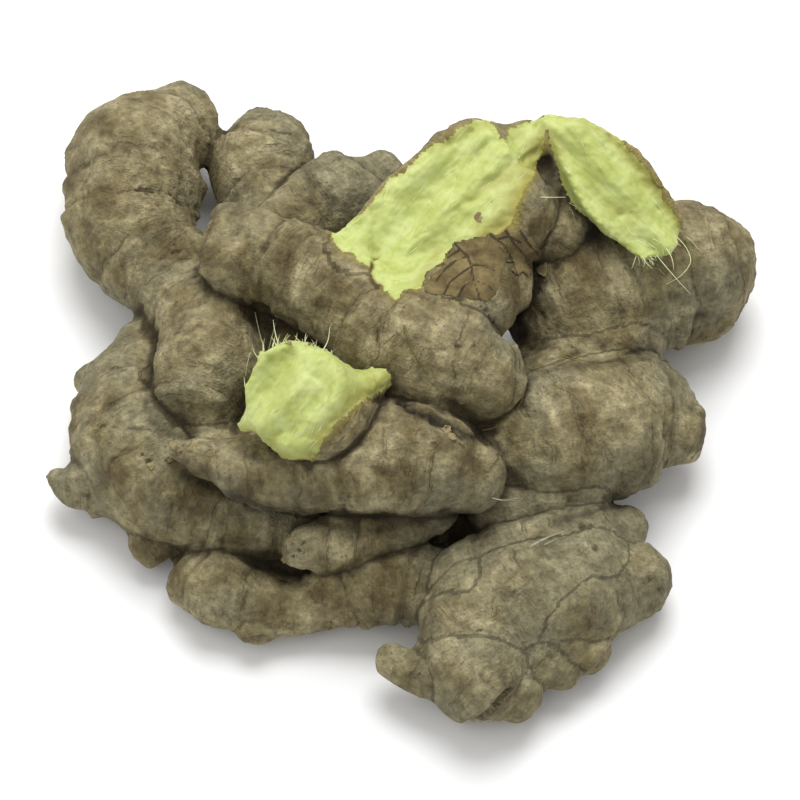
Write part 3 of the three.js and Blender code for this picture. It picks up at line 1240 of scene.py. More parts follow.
CRACKS: tuple[Crack, ...] = (
    Crack(((400, 293), (425, 299), (450, 298), (470, 303), (487, 310)), 0.22, 0.3),
    Crack(((469, 246), (475, 262), (478, 285), (485, 306), (490, 322), (500, 328)), 0.25, 0.4),
    Crack(((441, 257), (443, 268), (447, 275)), 0.2, 0.25),
    Crack(((414, 350), (440, 349), (470, 346), (497, 345)), 0.22, 0.3),
    Crack(((128, 175), (143, 190), (150, 196), (163, 214), (168, 222), (176, 250)), 0.22, 0.25),
    Crack(((76, 187), (96, 185), (117, 189), (140, 188), (158, 192), (189, 191)), 0.28, 0.4),
    Crack(((125, 266), (138, 262), (150, 262), (166, 254), (182, 248)), 0.3, 0.4),
    Crack(((437, 425), (452, 436), (468, 450), (476, 465)), 0.3, 0.35),
    Crack(((420, 432), (440, 447), (450, 456)), 0.25, 0.25),
    Crack(((399, 401), (406, 404), (412, 411)), 1.0, 1.2),
    Crack(((432, 421), (442, 424), (450, 430), (462, 437)), 0.9, 1.0),
    Crack(((624, 372), (632, 380), (640, 388)), 0.28, 0.3),
    Crack(((552, 351), (575, 360), (600, 362), (625, 353), (646, 349)), 0.3, 0.35),
    Crack(((90, 427), (104, 425), (120, 427), (145, 427), (160, 433)), 0.25, 0.35),
    Crack(((235, 122), (248, 120), (262, 123), (278, 127), (290, 130)), 0.22, 0.25),
    Crack(((214, 273), (222, 270), (230, 270)), 0.4, 0.4),
    Crack(((475, 560), (487, 570), (500, 577), (511, 588), (525, 595)), 0.16, 0.18),
    Crack(((460, 624), (480, 626), (505, 637), (524, 639), (540, 645)), 0.2, 0.25),
    Crack(((606, 600), (613, 610), (625, 615)), 0.18, 0.2),
    Crack(((643, 575), (652, 583), (664, 598)), 0.22, 0.25),
)

FOLDS: tuple[Crack, ...] = (
    Crack(((541, 148), (522, 162), (500, 174), (484, 186), (476, 200), (466, 205)), 1.0, 1.1),
    Crack(((380, 208), (374, 226), (372, 242), (375, 262)), 0.8, 0.7),
    Crack(((502, 138), (490, 140), (478, 150), (464, 168)), 0.8, 0.9),
    Crack(((388, 198), (410, 202), (428, 198), (446, 186)), 0.7, 0.35),
    Crack(((468, 206), (450, 214), (430, 232), (412, 240)), 0.8, 0.5),
    Crack(((606, 208), (618, 213), (633, 209)), 1.0, 0.7),
    Crack(((570, 130), (588, 152), (600, 176)), 0.8, 0.35),
    Crack(((300, 360), (312, 376), (328, 382)), 1.1, 0.5),
    Crack(((268, 446), (278, 434), (296, 430), (312, 436)), 1.0, 0.8),
)

SLIT = Crack(((375, 258), (372, 266), (370, 275), (377, 287)), 0.75, 0.9)

STAINS: tuple[TintLine, ...] = (
    TintLine(((544, 146), (536, 165), (527, 184), (519, 202), (512, 222), (490, 234)), 4.2, 1.0),
    TintLine(((522, 166), (506, 178), (484, 188)), 1.6, 0.6),
    TintLine(((440, 250), (428, 270), (416, 286)), 1.6, 0.5),
    TintLine(((566, 109), (587, 114), (610, 130), (636, 158), (660, 190), (680, 224)), 2.0, 0.8),
    TintLine(((610, 211), (630, 209)), 2.0, 0.4),
    TintLine(((388, 378), (366, 392), (350, 408), (336, 424), (320, 440)), 2.6, 0.8),
    TintLine(((346, 372), (372, 368)), 1.8, 0.35),
    TintLine(((246, 434), (262, 440), (272, 454), (296, 462), (312, 456)), 2.4, 0.85),
    TintLine(((440, 140), (456, 128), (484, 118)), 2.6, 0.5),
)

# Painted shade: near-black lines in the clefts between fingers, under the overhanging fingers and torn
# flesh, and low in the gaps, where shade falls.
PAINTED_SHADE_LINES: tuple[TintLine, ...] = (
    TintLine(((556, 222), (546, 262), (532, 290), (518, 315), (508, 345), (513, 368)), 3.6, 1.0, 40.0),
    TintLine(((558, 206), (576, 216), (592, 230)), 5.0, 1.0, 44.0),
    TintLine(((205, 285), (240, 308), (275, 325), (320, 345)), 2.4, 0.35),
    TintLine(((397, 400), (412, 411), (430, 417), (452, 428), (472, 437), (492, 429)), 1.3, 0.9),
    TintLine(((147, 395), (150, 420), (165, 431), (190, 438)), 1.0, 0.6),
    TintLine(((186, 474), (220, 490), (279, 510), (350, 514), (420, 517), (470, 513)), 1.3, 0.75),
    TintLine(((190, 466), (230, 478), (280, 492), (330, 499)), 2.6, 0.28),
    TintLine(((320, 522), (370, 529), (410, 523)), 1.6, 0.5),
    TintLine(((196, 556), (250, 562), (285, 569), (310, 570)), 3.0, 1.0, 17.0),
    TintLine(((440, 524), (456, 532), (470, 542)), 5.5, 1.0, 19.0),
    TintLine(((560, 368), (600, 364), (630, 355), (655, 352)), 1.3, 0.5),
    TintLine(((556, 520), (585, 512), (630, 500)), 1.4, 0.6),
    TintLine(((415, 286), (424, 277), (441, 259), (453, 248)), 0.7, 0.8),
    TintLine(((240, 450), (256, 456), (268, 462)), 1.2, 0.5),
    TintLine(((394, 392), (386, 400), (380, 412)), 1.2, 0.5),
    TintLine(((206, 140), (202, 165)), 1.0, 0.8),
    TintLine(((300, 165), (318, 184), (330, 200)), 1.2, 0.5),
)

DRY_SKIN: tuple[TintLine, ...] = (
    TintLine(((172, 447), (190, 442), (212, 446), (236, 455)), 2.4, 1.0),
    TintLine(((290, 536), (300, 532), (312, 540), (300, 558)), 2.4, 0.9),
    TintLine(((440, 424), (450, 430), (458, 438)), 2.0, 0.7),
    TintLine(((385, 385), (400, 392), (410, 402)), 2.4, 0.6),
)

SCARS: tuple[Scar, ...] = (
    Scar((578, 522), 2.0, 0.5, 1.2),
    Scar((592, 540), 1.1, 0.3, 0.6),
    Scar((632, 572), 0.8, 0.1, 0.4),
    Scar((476, 669), 1.2, 0.3, 0.5),
    Scar((296, 520), 0.9, 0.2, 0.3),
    Scar((152, 456), 1.5, 0.3, 0.6),
    Scar((140, 452), 0.9, 0.2, 0.4),
    Scar((288, 539), 0.9, 0.4, 0.9),
    Scar((298, 545), 1.1, 0.4, 1.0),
    Scar((290, 553), 0.9, 0.3, 0.9),
    Scar((304, 536), 0.7, 0.3, 0.6),
    Scar((302, 556), 0.7, 0.3, 0.6),
)

DRY_ENDS: tuple[DryEnd, ...] = (
    DryEnd((176, 452), 3.0, 1.5, 0.25),
)


def linear(red: int, green: int, blue: int) -> tuple[float, float, float, float]:
    """Turns a colour on a scale of 0 to 255 into the linear values that a shader takes."""
    values = [c / 255 for c in (red, green, blue)]
    return tuple(c / 12.92 if c <= 0.04045 else ((c + 0.055) / 1.055) ** 2.4 for c in values) + (1.0,)


Rgb = tuple[int, int, int]
Feed = NodeSocket | float | tuple[float, ...]


@dataclass
class Nodes:
    """Lays shader nodes in the tree of a material or of a group."""

    tree: NodeTree

    def add(
        self, kind: str, feeds: dict[str | int, Feed] | None = None, **settings: object
    ) -> Node:
        """Adds a node.

        Args:
            kind: The node's type.
            feeds: What each input is fed, by its name or number.
            settings: The node's properties.

        Returns:
            The node.
        """
        node = self.tree.nodes.new(kind)
        for name, value in settings.items():
            setattr(node, name, value)
        for key, value in (feeds or {}).items():
            self.feed(node.inputs[key], value)
        return node

    def feed(self, socket: NodeSocket, value: Feed) -> None:
        """Links a socket to another, or sets its number or colour.

        Args:
            socket: The input.
            value: An output, a number or a colour.
        """
        if isinstance(value, NodeSocket):
            self.tree.links.new(value, socket)
        else:
            socket.default_value = value

    def math(self, operation: str, first: Feed, second: Feed = 0.0) -> NodeSocket:
        """Works out one number from two by the named operation."""
        return self.add("ShaderNodeMath", {0: first, 1: second}, operation=operation).outputs[0]

    def times(self, first: Feed, second: Feed) -> NodeSocket:
        """Multiplies two numbers."""
        return self.math("MULTIPLY", first, second)

    def stretch(self, vector: Feed, scale: Feed) -> NodeSocket:
        """Multiplies a vector by another."""
        return self.add("ShaderNodeVectorMath", {0: vector, 1: scale}, operation="MULTIPLY").outputs[0]

    def attribute(self, name: str, vector: bool = False) -> NodeSocket:
        """Reads a number or a vector that the mesh stores at each vertex."""
        return self.add("ShaderNodeAttribute", attribute_name=name).outputs["Vector" if vector else "Fac"]

    def noise(
        self, vector: Feed, scale: Feed, detail: float = 3.0, roughness: float = 0.55, warp: float = 0.0
    ) -> NodeSocket:
        """Reads a noise, from about 0.2 to 0.8, whose scale is lumps in a metre."""
        feeds = {"Vector": vector, "Scale": scale, "Detail": detail}
        feeds |= {"Roughness": roughness, "Distortion": warp}
        return self.add("ShaderNodeTexNoise", feeds).outputs["Fac"]

    def band(self, value: Feed, low: float, high: float) -> NodeSocket:
        """Turns a number into a smooth share: 0 at the low mark and 1 at the high one."""
        ends = (1.0, 0.0) if low > high else (0.0, 1.0)
        return self.span(value, min(low, high), max(low, high), *ends, "SMOOTHSTEP")

    def span(
        self, value: Feed, low: float, high: float, first: float, last: float, shape: str = "LINEAR"
    ) -> NodeSocket:
        """Turns a number between two marks into one between two others."""
        feeds = {"Value": value, "From Min": low, "From Max": high, "To Min": first, "To Max": last}
        return self.add("ShaderNodeMapRange", feeds, interpolation_type=shape).outputs["Result"]

    def ramp(self, value: Feed, *stops: tuple[float, Rgb]) -> NodeSocket:
        """Turns a number into a colour.

        Args:
            value: The number.
            stops: Places from 0 to 1, each with its colour on a scale of 0 to 255.

        Returns:
            The colour.
        """
        node = self.add("ShaderNodeValToRGB", {"Fac": value})
        elements = node.color_ramp.elements
        while len(elements) < len(stops):
            elements.new(1.0)
        for element, (place, colour) in zip(elements, stops):
            element.position = place
            element.color = linear(*colour)
        return node.outputs["Color"]

    def mix(self, share: Feed, first: Feed, second: Feed) -> NodeSocket:
        """Mixes two colours by the share of the second."""
        return self.add("ShaderNodeMix", {0: share, 6: first, 7: second}, data_type="RGBA").outputs[2]

    def dim(self, colour: Feed, factor: Feed) -> NodeSocket:
        """Multiplies a colour by a number."""
        return self.add("ShaderNodeVectorMath", {0: colour, "Scale": factor}, operation="SCALE").outputs[0]

    def shared(self, group: NodeTree, **feeds: Feed) -> bpy.types.bpy_prop_collection:
        """Places a shared group with its own inputs, and gives its outputs."""
        return self.add("ShaderNodeGroup", feeds, node_tree=group).outputs

    def bump(self, shader: Node, height: Feed, strength: float, depth: float) -> None:
        """Presses a relief into the shader's normal, with its depth in metres."""
        feeds = {"Strength": strength, "Distance": depth, "Height": height}
        self.feed(shader.inputs["Normal"], self.add("ShaderNodeBump", feeds).outputs["Normal"])


def open_material(name: str) -> tuple[Material, Nodes, Node, NodeSocket]:
    """Starts a material.

    Args:
        name: Its name.

    Returns:
        The material, its nodes, its shader, and the place at which its textures are read.
    """
    made = bpy.data.materials.new(name)
    made.use_nodes = True
    nodes = Nodes(made.node_tree)
    place = nodes.add("ShaderNodeTexCoord").outputs["Object"]
    return made, nodes, made.node_tree.nodes["Principled BSDF"], place


def open_group(
    name: str, inputs: dict[str, str], outputs: tuple[str, ...]
) -> tuple[NodeTree, Nodes, Node, Node]:
    """Starts a shared shader group.

    Args:
        name: The group's name.
        inputs: Each input's name and socket type.
        outputs: The name of each number that it puts out.

    Returns:
        The group, its nodes, and its input and output nodes.
    """
    group = bpy.data.node_groups.new(name, "ShaderNodeTree")
    for socket, kind in inputs.items():
        group.interface.new_socket(name=socket, in_out="INPUT", socket_type=kind)
    for socket in outputs:
        group.interface.new_socket(name=socket, in_out="OUTPUT", socket_type="NodeSocketFloat")
    nodes = Nodes(group)
    return group, nodes, nodes.add("NodeGroupInput"), nodes.add("NodeGroupOutput")


def mottle_group() -> NodeTree:
    """Builds the shared mottling: broad patches, fine grain and dark specks.

    Returns:
        The group.
    """
    group, nodes, given, result = open_group(
        "mottle",
        {"Vector": "NodeSocketVector", "Patches": "NodeSocketFloat", "Grain": "NodeSocketFloat"},
        ("Patch", "Fine", "Speck"),
    )
    place = given.outputs["Vector"]
    patch = nodes.noise(place, given.outputs["Patches"], 4.0, 0.6, 0.3)
    fine = nodes.noise(place, given.outputs["Grain"], 5.0, 0.7)
    feeds = {"Vector": place, "Scale": given.outputs["Grain"]}
    cells = nodes.add("ShaderNodeTexVoronoi", feeds, feature="F1")
    near = nodes.band(cells.outputs["Distance"], 0.28, 0.05)
    sparse = nodes.band(nodes.noise(place, given.outputs["Patches"], 2.0), 0.5, 0.72)
    nodes.feed(result.inputs["Patch"], patch)
    nodes.feed(result.inputs["Fine"], fine)
    nodes.feed(result.inputs["Speck"], nodes.times(near, sparse))
    return group


def streak_group() -> NodeTree:
    """Builds the shared streaks, drawn out along the first coordinate, with thin dark lines.

    Returns:
        The group.
    """
    group, nodes, given, result = open_group(
        "streaks",
        {"Vector": "NodeSocketVector", "Stretch": "NodeSocketVector"},
        ("Streak", "Line"),
    )
    drawn = nodes.stretch(given.outputs["Vector"], given.outputs["Stretch"])
    streak = nodes.noise(drawn, 1.0, 4.0, 0.6, 0.4)
    line = nodes.noise(drawn, 0.6, 2.0, 0.5, 0.8)
    nodes.feed(result.inputs["Streak"], streak)
    ridge = nodes.math("ABSOLUTE", nodes.math("SUBTRACT", line, 0.5))
    nodes.feed(result.inputs["Line"], nodes.band(ridge, 0.03, 0.0))
    return group


@dataclass(frozen=True)
class SkinFinish:
    """The dry matt skin: mottled tan, ringed and wrinkled, darker in its creases with dirt and painted
    shade, yellow by the flesh.
    """

    dark: Rgb = (98, 85, 54)
    middle: Rgb = (136, 125, 90)
    light: Rgb = (172, 161, 124)
    grey: Rgb = (128, 126, 103)
    # Dark brown of specks, cracks, scars and grooves, and of the dirt and painted shade in the creases.
    dirt_and_shade: Rgb = (48, 38, 20)
    # Near-black of the painted shade in the clefts and under overhangs.
    painted_deep_shade: Rgb = (26, 18, 8)
    line: Rgb = (76, 62, 36)
    yellow: Rgb = (146, 132, 62)
    paper: Rgb = (172, 162, 126)

    def material(self, mottle: NodeTree, streaks: NodeTree) -> Material:
        """Builds the material.

        Args:
            mottle: The shared mottling.
            streaks: The shared streaks.

        Returns:
            The material.
        """
        made, nodes, shader, place = open_material("ginger_skin")
        spots = nodes.shared(mottle, Vector=place, Patches=95.0, Grain=620.0)
        grain = nodes.attribute("grain", vector=True)
        settled = nodes.band(nodes.attribute("joint"), 0.3, 2.0)
        lengthwise = nodes.shared(streaks, Vector=grain, Stretch=(220.0, 760.0, 760.0))
        crosswise = nodes.shared(streaks, Vector=grain, Stretch=(640.0, 150.0, 150.0))
        colour = nodes.ramp(
            spots["Patch"], (0.33, self.dark), (0.5, self.middle), (0.68, self.light),
        )
        cool = nodes.band(nodes.noise(place, 26.0, 3.0), 0.46, 0.62)
        colour = nodes.mix(nodes.times(cool, 0.5), colour, linear(*self.grey))
        crumbs = nodes.noise(place, 330.0, 5.0, 0.72)
        colour = nodes.dim(colour, nodes.span(spots["Fine"], 0.3, 0.7, 0.68, 1.28))
        colour = nodes.dim(colour, nodes.span(crumbs, 0.3, 0.7, 0.64, 1.32))
        colour = nodes.dim(colour, nodes.span(crosswise["Streak"], 0.3, 0.7, 0.86, 1.12))
        thread = nodes.span(lengthwise["Streak"], 0.3, 0.7, 0.92, 1.07)
        colour = nodes.mix(settled, colour, nodes.dim(colour, thread))
        lines = nodes.times(crosswise["Line"], settled)
        patchy = nodes.band(nodes.noise(place, 140.0, 2.0), 0.45, 0.62)
        lines = nodes.times(lines, patchy)
        colour = nodes.mix(nodes.times(lines, 0.3), colour, linear(*self.line))
        colour = nodes.mix(nodes.times(spots["Speck"], 0.65), colour, linear(*self.dirt_and_shade))
        ring = self.rings(nodes, place, settled)
        colour = nodes.mix(nodes.times(ring, 0.62), colour, linear(*self.line))
        colour = self.edges(nodes, place, colour, lengthwise["Streak"])
        # Creases darken towards dark brown, the hollower the darker: dirt and painted shade.
        hollow = nodes.band(nodes.attribute("crease"), 0.06, 0.8)
        colour = nodes.mix(nodes.times(hollow, 0.82), colour, linear(*self.dirt_and_shade))
        nodes.feed(shader.inputs["Base Color"], colour)
        nodes.feed(shader.inputs["Roughness"], nodes.span(spots["Fine"], 0.3, 0.7, 0.72, 0.95))
        shader.inputs["Specular IOR Level"].default_value = 0.3
        height = nodes.math("ADD", spots["Fine"], nodes.times(
            nodes.times(lengthwise["Streak"], settled), 0.5))
        height = nodes.math("ADD", height, nodes.times(crosswise["Streak"], 0.9))
        height = nodes.math("ADD", height, crumbs)
        height = nodes.math("SUBTRACT", height, nodes.times(lines, 0.25))
        height = nodes.math("SUBTRACT", height, nodes.times(ring, 0.5))
        nodes.bump(shader, height, 0.9, 0.001)
        return made

    @staticmethod
    def rings(nodes: Nodes, place: Feed, settled: Feed) -> NodeSocket:
        """Draws a thin broken line in front of each ring, in a soft band of painted shade.

        Args:
            nodes: The material's nodes.
            place: Where the texture is read.
            settled: How far a place is from a neighbouring finger.

        Returns:
            The share of line at each place.
        """
        stray = nodes.span(nodes.noise(place, 260.0, 4.0, 0.6), 0.2, 0.8, -0.09, 0.09)
        count = nodes.math("ADD", nodes.attribute("ring_phase"), stray)
        step = nodes.math("SUBTRACT", nodes.math("FRACT", nodes.math("ADD", count, 0.62)), 0.5)
        line = nodes.band(nodes.math("ABSOLUTE", step), 0.05, 0.006)
        beside = nodes.band(nodes.math("ABSOLUTE", nodes.math("SUBTRACT", step, 0.1)), 0.03, 0.0)
        # A soft band of painted shade about each ring, as under a ridge.
        shade = nodes.times(nodes.band(nodes.math("ABSOLUTE", step), 0.2, 0.02), 0.35)
        line = nodes.times(line, nodes.band(nodes.noise(place, 120.0, 3.0, 0.6), 0.38, 0.6))
        beside = nodes.times(beside, nodes.band(nodes.noise(place, 170.0, 3.0, 0.6), 0.46, 0.62))
        total = nodes.math("MAXIMUM", shade, nodes.math("MAXIMUM", line, beside))
        return nodes.times(total, settled)

    def edges(self, nodes: Nodes, place: Feed, colour: Feed, streak: Feed) -> NodeSocket:
        """Adds the papery ends, the yellow edge by the flesh, the cracks, the scars, and the painted shade
        in the clefts and under overhangs.

        Args:
            nodes: The material's nodes.
            place: Where the texture is read.
            colour: The colour so far.
            streak: The streaks that run along the finger.

        Returns:
            The colour with them.
        """
        patchy = nodes.band(nodes.noise(place, 700.0, 4.0, 0.6), 0.3, 0.55)
        dry = nodes.times(nodes.attribute("dry"), patchy)
        paper = nodes.dim(linear(*self.paper)[:3], nodes.span(streak, 0.36, 0.64, 0.55, 1.12))
        colour = nodes.mix(nodes.times(dry, 0.85), colour, paper)
        colour = nodes.mix(nodes.times(nodes.attribute("groove"), 0.7), colour, linear(*self.dirt_and_shade))
        ragged = nodes.span(nodes.noise(place, 420.0, 3.0), 0.2, 0.8, -0.6, 0.6)
        depth = nodes.math("ADD", nodes.attribute("tear"), ragged)
        near = nodes.times(nodes.band(depth, -1.4, -0.2), 0.55)
        juice = nodes.times(nodes.attribute("stain"), nodes.band(depth, -3.2, -0.4))
        near = nodes.math("MAXIMUM", near, juice)
        colour = nodes.mix(nodes.times(near, 0.85), colour, linear(*self.yellow))
        dark = nodes.math("MAXIMUM", nodes.attribute("crack"), nodes.attribute("scar"))
        colour = nodes.mix(nodes.times(nodes.band(dark, 0.15, 0.95), 0.7), colour, linear(*self.dirt_and_shade))
        # Painted shade: near-black in the clefts and under overhangs, broken by noise.
        uneven = nodes.span(nodes.noise(place, 300.0, 4.0, 0.6), 0.3, 0.7, 0.7, 1.2)
        painted_deep_shade = nodes.math("MINIMUM", nodes.times(nodes.attribute("painted_shade"), uneven), 0.96)
        return nodes.mix(painted_deep_shade, colour, linear(*self.painted_deep_shade))


@dataclass(frozen=True)
class FleshFinish:
    """The torn flesh: pale yellow-green and fibrous, olive along its edge, and darker in its hollows as
    painted shade.
    """

    deep: Rgb = (160, 169, 84)
    middle: Rgb = (178, 188, 110)
    pale: Rgb = (194, 202, 136)
    # Olive of the torn edge, also used for the painted shade in the hollows.
    edge: Rgb = (148, 140, 66)
    slit: Rgb = (82, 62, 18)

    def material(self, mottle: NodeTree, streaks: NodeTree) -> Material:
        """Builds the material.

        Args:
            mottle: The shared mottling.
            streaks: The shared streaks.

        Returns:
            The material.
        """
        made, nodes, shader, place = open_material("ginger_flesh")
        spots = nodes.shared(mottle, Vector=place, Patches=120.0, Grain=900.0)
        strand = nodes.attribute("strand", vector=True)
        fibres = nodes.shared(streaks, Vector=strand, Stretch=(90.0, 620.0, 620.0))
        tone = nodes.math("ADD", nodes.times(spots["Patch"], 0.65), nodes.times(
            fibres["Streak"], 0.35))
        colour = nodes.ramp(tone, (0.34, self.deep), (0.5, self.middle), (0.66, self.pale))
        colour = nodes.dim(colour, nodes.span(spots["Fine"], 0.3, 0.7, 0.95, 1.04))
        # Painted shade: hollows darken towards the olive edge colour.
        hollow = nodes.band(nodes.attribute("crease"), 0.1, 1.0)
        colour = nodes.mix(nodes.times(hollow, 0.6), colour, linear(*self.edge))
        rim = nodes.band(nodes.math("ADD", nodes.attribute("tear"), nodes.span(
            nodes.noise(place, 300.0, 3.0), 0.2, 0.8, -0.5, 0.5)), 0.9, 0.0)
        rim = nodes.math("MAXIMUM", nodes.times(rim, 0.3), nodes.attribute("stain"))
        colour = nodes.mix(nodes.times(rim, 0.85), colour, linear(*self.edge))
        colour = nodes.mix(nodes.band(nodes.attribute("crack"), 0.2, 0.9), colour, linear(*self.slit))
        nodes.feed(shader.inputs["Base Color"], colour)
        nodes.feed(shader.inputs["Roughness"], nodes.span(fibres["Streak"], 0.3, 0.7, 0.45, 0.7))
        shader.inputs["Specular IOR Level"].default_value = 0.35
        shader.inputs["Subsurface Weight"].default_value = 0.15
        shader.inputs["Subsurface Radius"].default_value = (1.0, 0.9, 0.35)
        shader.inputs["Subsurface Scale"].default_value = 0.003
        height = nodes.math("ADD", fibres["Streak"], nodes.times(spots["Fine"], 0.5))
        nodes.bump(shader, height, 0.45, 0.0005)
        return made


@dataclass(frozen=True)
class ThreadFinish:
    """A loose thread or flake, mottled between two colours."""

    name: str
    first: Rgb
    last: Rgb
    roughness: float = 0.6

    def material(self, mottle: NodeTree) -> Material:
        """Builds the material.

        Args:
            mottle: The shared mottling.

        Returns:
            The material.
        """
        made, nodes, shader, place = open_material(self.name)
        spots = nodes.shared(mottle, Vector=place, Patches=400.0, Grain=1600.0)
        colour = nodes.ramp(spots["Patch"], (0.38, self.first), (0.62, self.last))
        colour = nodes.dim(colour, nodes.span(spots["Fine"], 0.3, 0.7, 0.88, 1.08))
        nodes.feed(shader.inputs["Base Color"], colour)
        shader.inputs["Roughness"].default_value = self.roughness
        nodes.bump(shader, spots["Fine"], 0.5, 0.0002)
        return made


@dataclass
class Surface:
    """The finished root, which loose threads and flakes are set on."""

    root: Object
    tree: BVHTree = field(init=False)

    def __post_init__(self) -> None:
        """Builds the search tree."""
        work = bmesh.new()
        work.from_mesh(self.root.data)
        self.tree = BVHTree.FromBMesh(work)
        work.free()

    def nearness(self, u: float, v: float) -> float | None:
        """Finds how near the viewer the root is at a place on the sheet.

        Args:
            u: Distance to the right.
            v: Distance up the sheet.

        Returns:
            The nearness in millimetres, or None beside the root.
        """
        near = Vector(SHEET.direction(0, 0, 1))
        start = Vector(SHEET.at(u, v, 400.0) * MM)
        spot, _, _, _ = self.tree.ray_cast(start, -near)
        return None if spot is None else float(SHEET.flatten(np.array([spot]) / MM)[2][0])


def bent_rod(points: Array, radii: Array, sides: int) -> BMesh:
    """Spins a thin closed rod about a straight line, then bends it along points.

    Args:
        points: The places that it runs through, in millimetres.
        radii: Its radius at each place.
        sides: How many sides it has.

    Returns:
        The rod, in metres.
    """
    last = len(points) - 1
    stations = [(0, 0.0)] + [(i, 1.0) for i in range(last + 1)] + [(last, 0.0)]
    mesh = spin_profile([share for _, share in stations], sides)
    ways = np.gradient(points, axis=0)
    ways /= np.linalg.norm(ways, axis=1)[:, None]
    side = np.cross(ways, SHEET.direction(0.1, 0.2, 1.0))
    side /= np.linalg.norm(side, axis=1)[:, None]
    rise = np.cross(side, ways)
    flat = np.array([vert.co for vert in mesh.verts])
    index = np.array([i for i, _ in stations])[np.rint(flat[:, 2]).astype(int)]
    across = flat[:, :1] * side[index] + flat[:, 1:2] * rise[index]
    place_verts(mesh, points[index] + radii[index][:, None] * across)
    return mesh


def gather(name: str, parts: list[BMesh], finish: Material) -> Object:
    """Puts small meshes together as one piece that rides on the root.

    Args:
        name: The piece's name.
        parts: The small meshes, which are freed.
        finish: Its material.

    Returns:
        The piece.
    """
    data = bpy.data.meshes.new(name)
    put_together(data, parts)
    data.polygons.foreach_set("use_smooth", np.ones(len(data.polygons), bool))
    data.materials.append(finish)
    piece = show(name, data)
    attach(piece, BODY)
    log.info("%s: %d faces", name, len(data.polygons))
    return piece


def smooth_run(knots: Array, count: int) -> Array:
    """Runs a smooth curve through knots, and steps along it evenly.

    Args:
        knots: One row for each knot.
        count: How many places to give.

    Returns:
        The places.
    """
    fine, _ = Path.curve(knots, np.ones(len(knots)), 8)
    run = run_along(fine)
    even = np.linspace(0.0, run[-1], count)
    return np.stack([np.interp(even, run, fine[:, k]) for k in range(3)], axis=1)


@dataclass(frozen=True)
class Thread:
    """A thread on the root: the places on the sheet that it runs through, its radius and its lift."""

    line: Outline
    radius: float
    lift: float = 0.1
    taper: float = 0.3


@dataclass
class Threads:
    """Loose threads of one kind: some lie on the root, and some stand off its torn ends."""

    name: str
    surface: Surface
    threads: tuple[Thread, ...]
    sides: int = 6
    step: float = 0.8

    def rod(self, thread: Thread) -> BMesh:
        """Builds one thread.

        Args:
            thread: The thread.

        Returns:
            Its mesh.
        """
        line = on_sheet(thread.line)
        nearness = self.surface.nearness(*line[0])
        last = 0.0 if nearness is None else nearness - 0.5
        knots = []
        for number, (u, v) in enumerate(line):
            found = self.surface.nearness(u, v)
            if number and (found is None or abs(found - last) > 5.0):
                knots.append(SHEET.place(u, v, knots[-1][2]))
                continue
            last = found if number else last
            knots.append(SHEET.at(u, v, last + (thread.lift if number else min(0.0, thread.lift))))
        spread = np.array(knots)
        count = max(5, int(run_along(spread)[-1] / self.step))
        points = smooth_run(spread, count)
        taper = 1.0 - (1.0 - thread.taper) * np.linspace(0.0, 1.0, count) ** 1.5
        return bent_rod(points, thread.radius * taper, self.sides)

    def build(self, finish: Material) -> Object:
        """Builds them all as one piece in the given material."""
        return gather(self.name, [self.rod(thread) for thread in self.threads], finish)


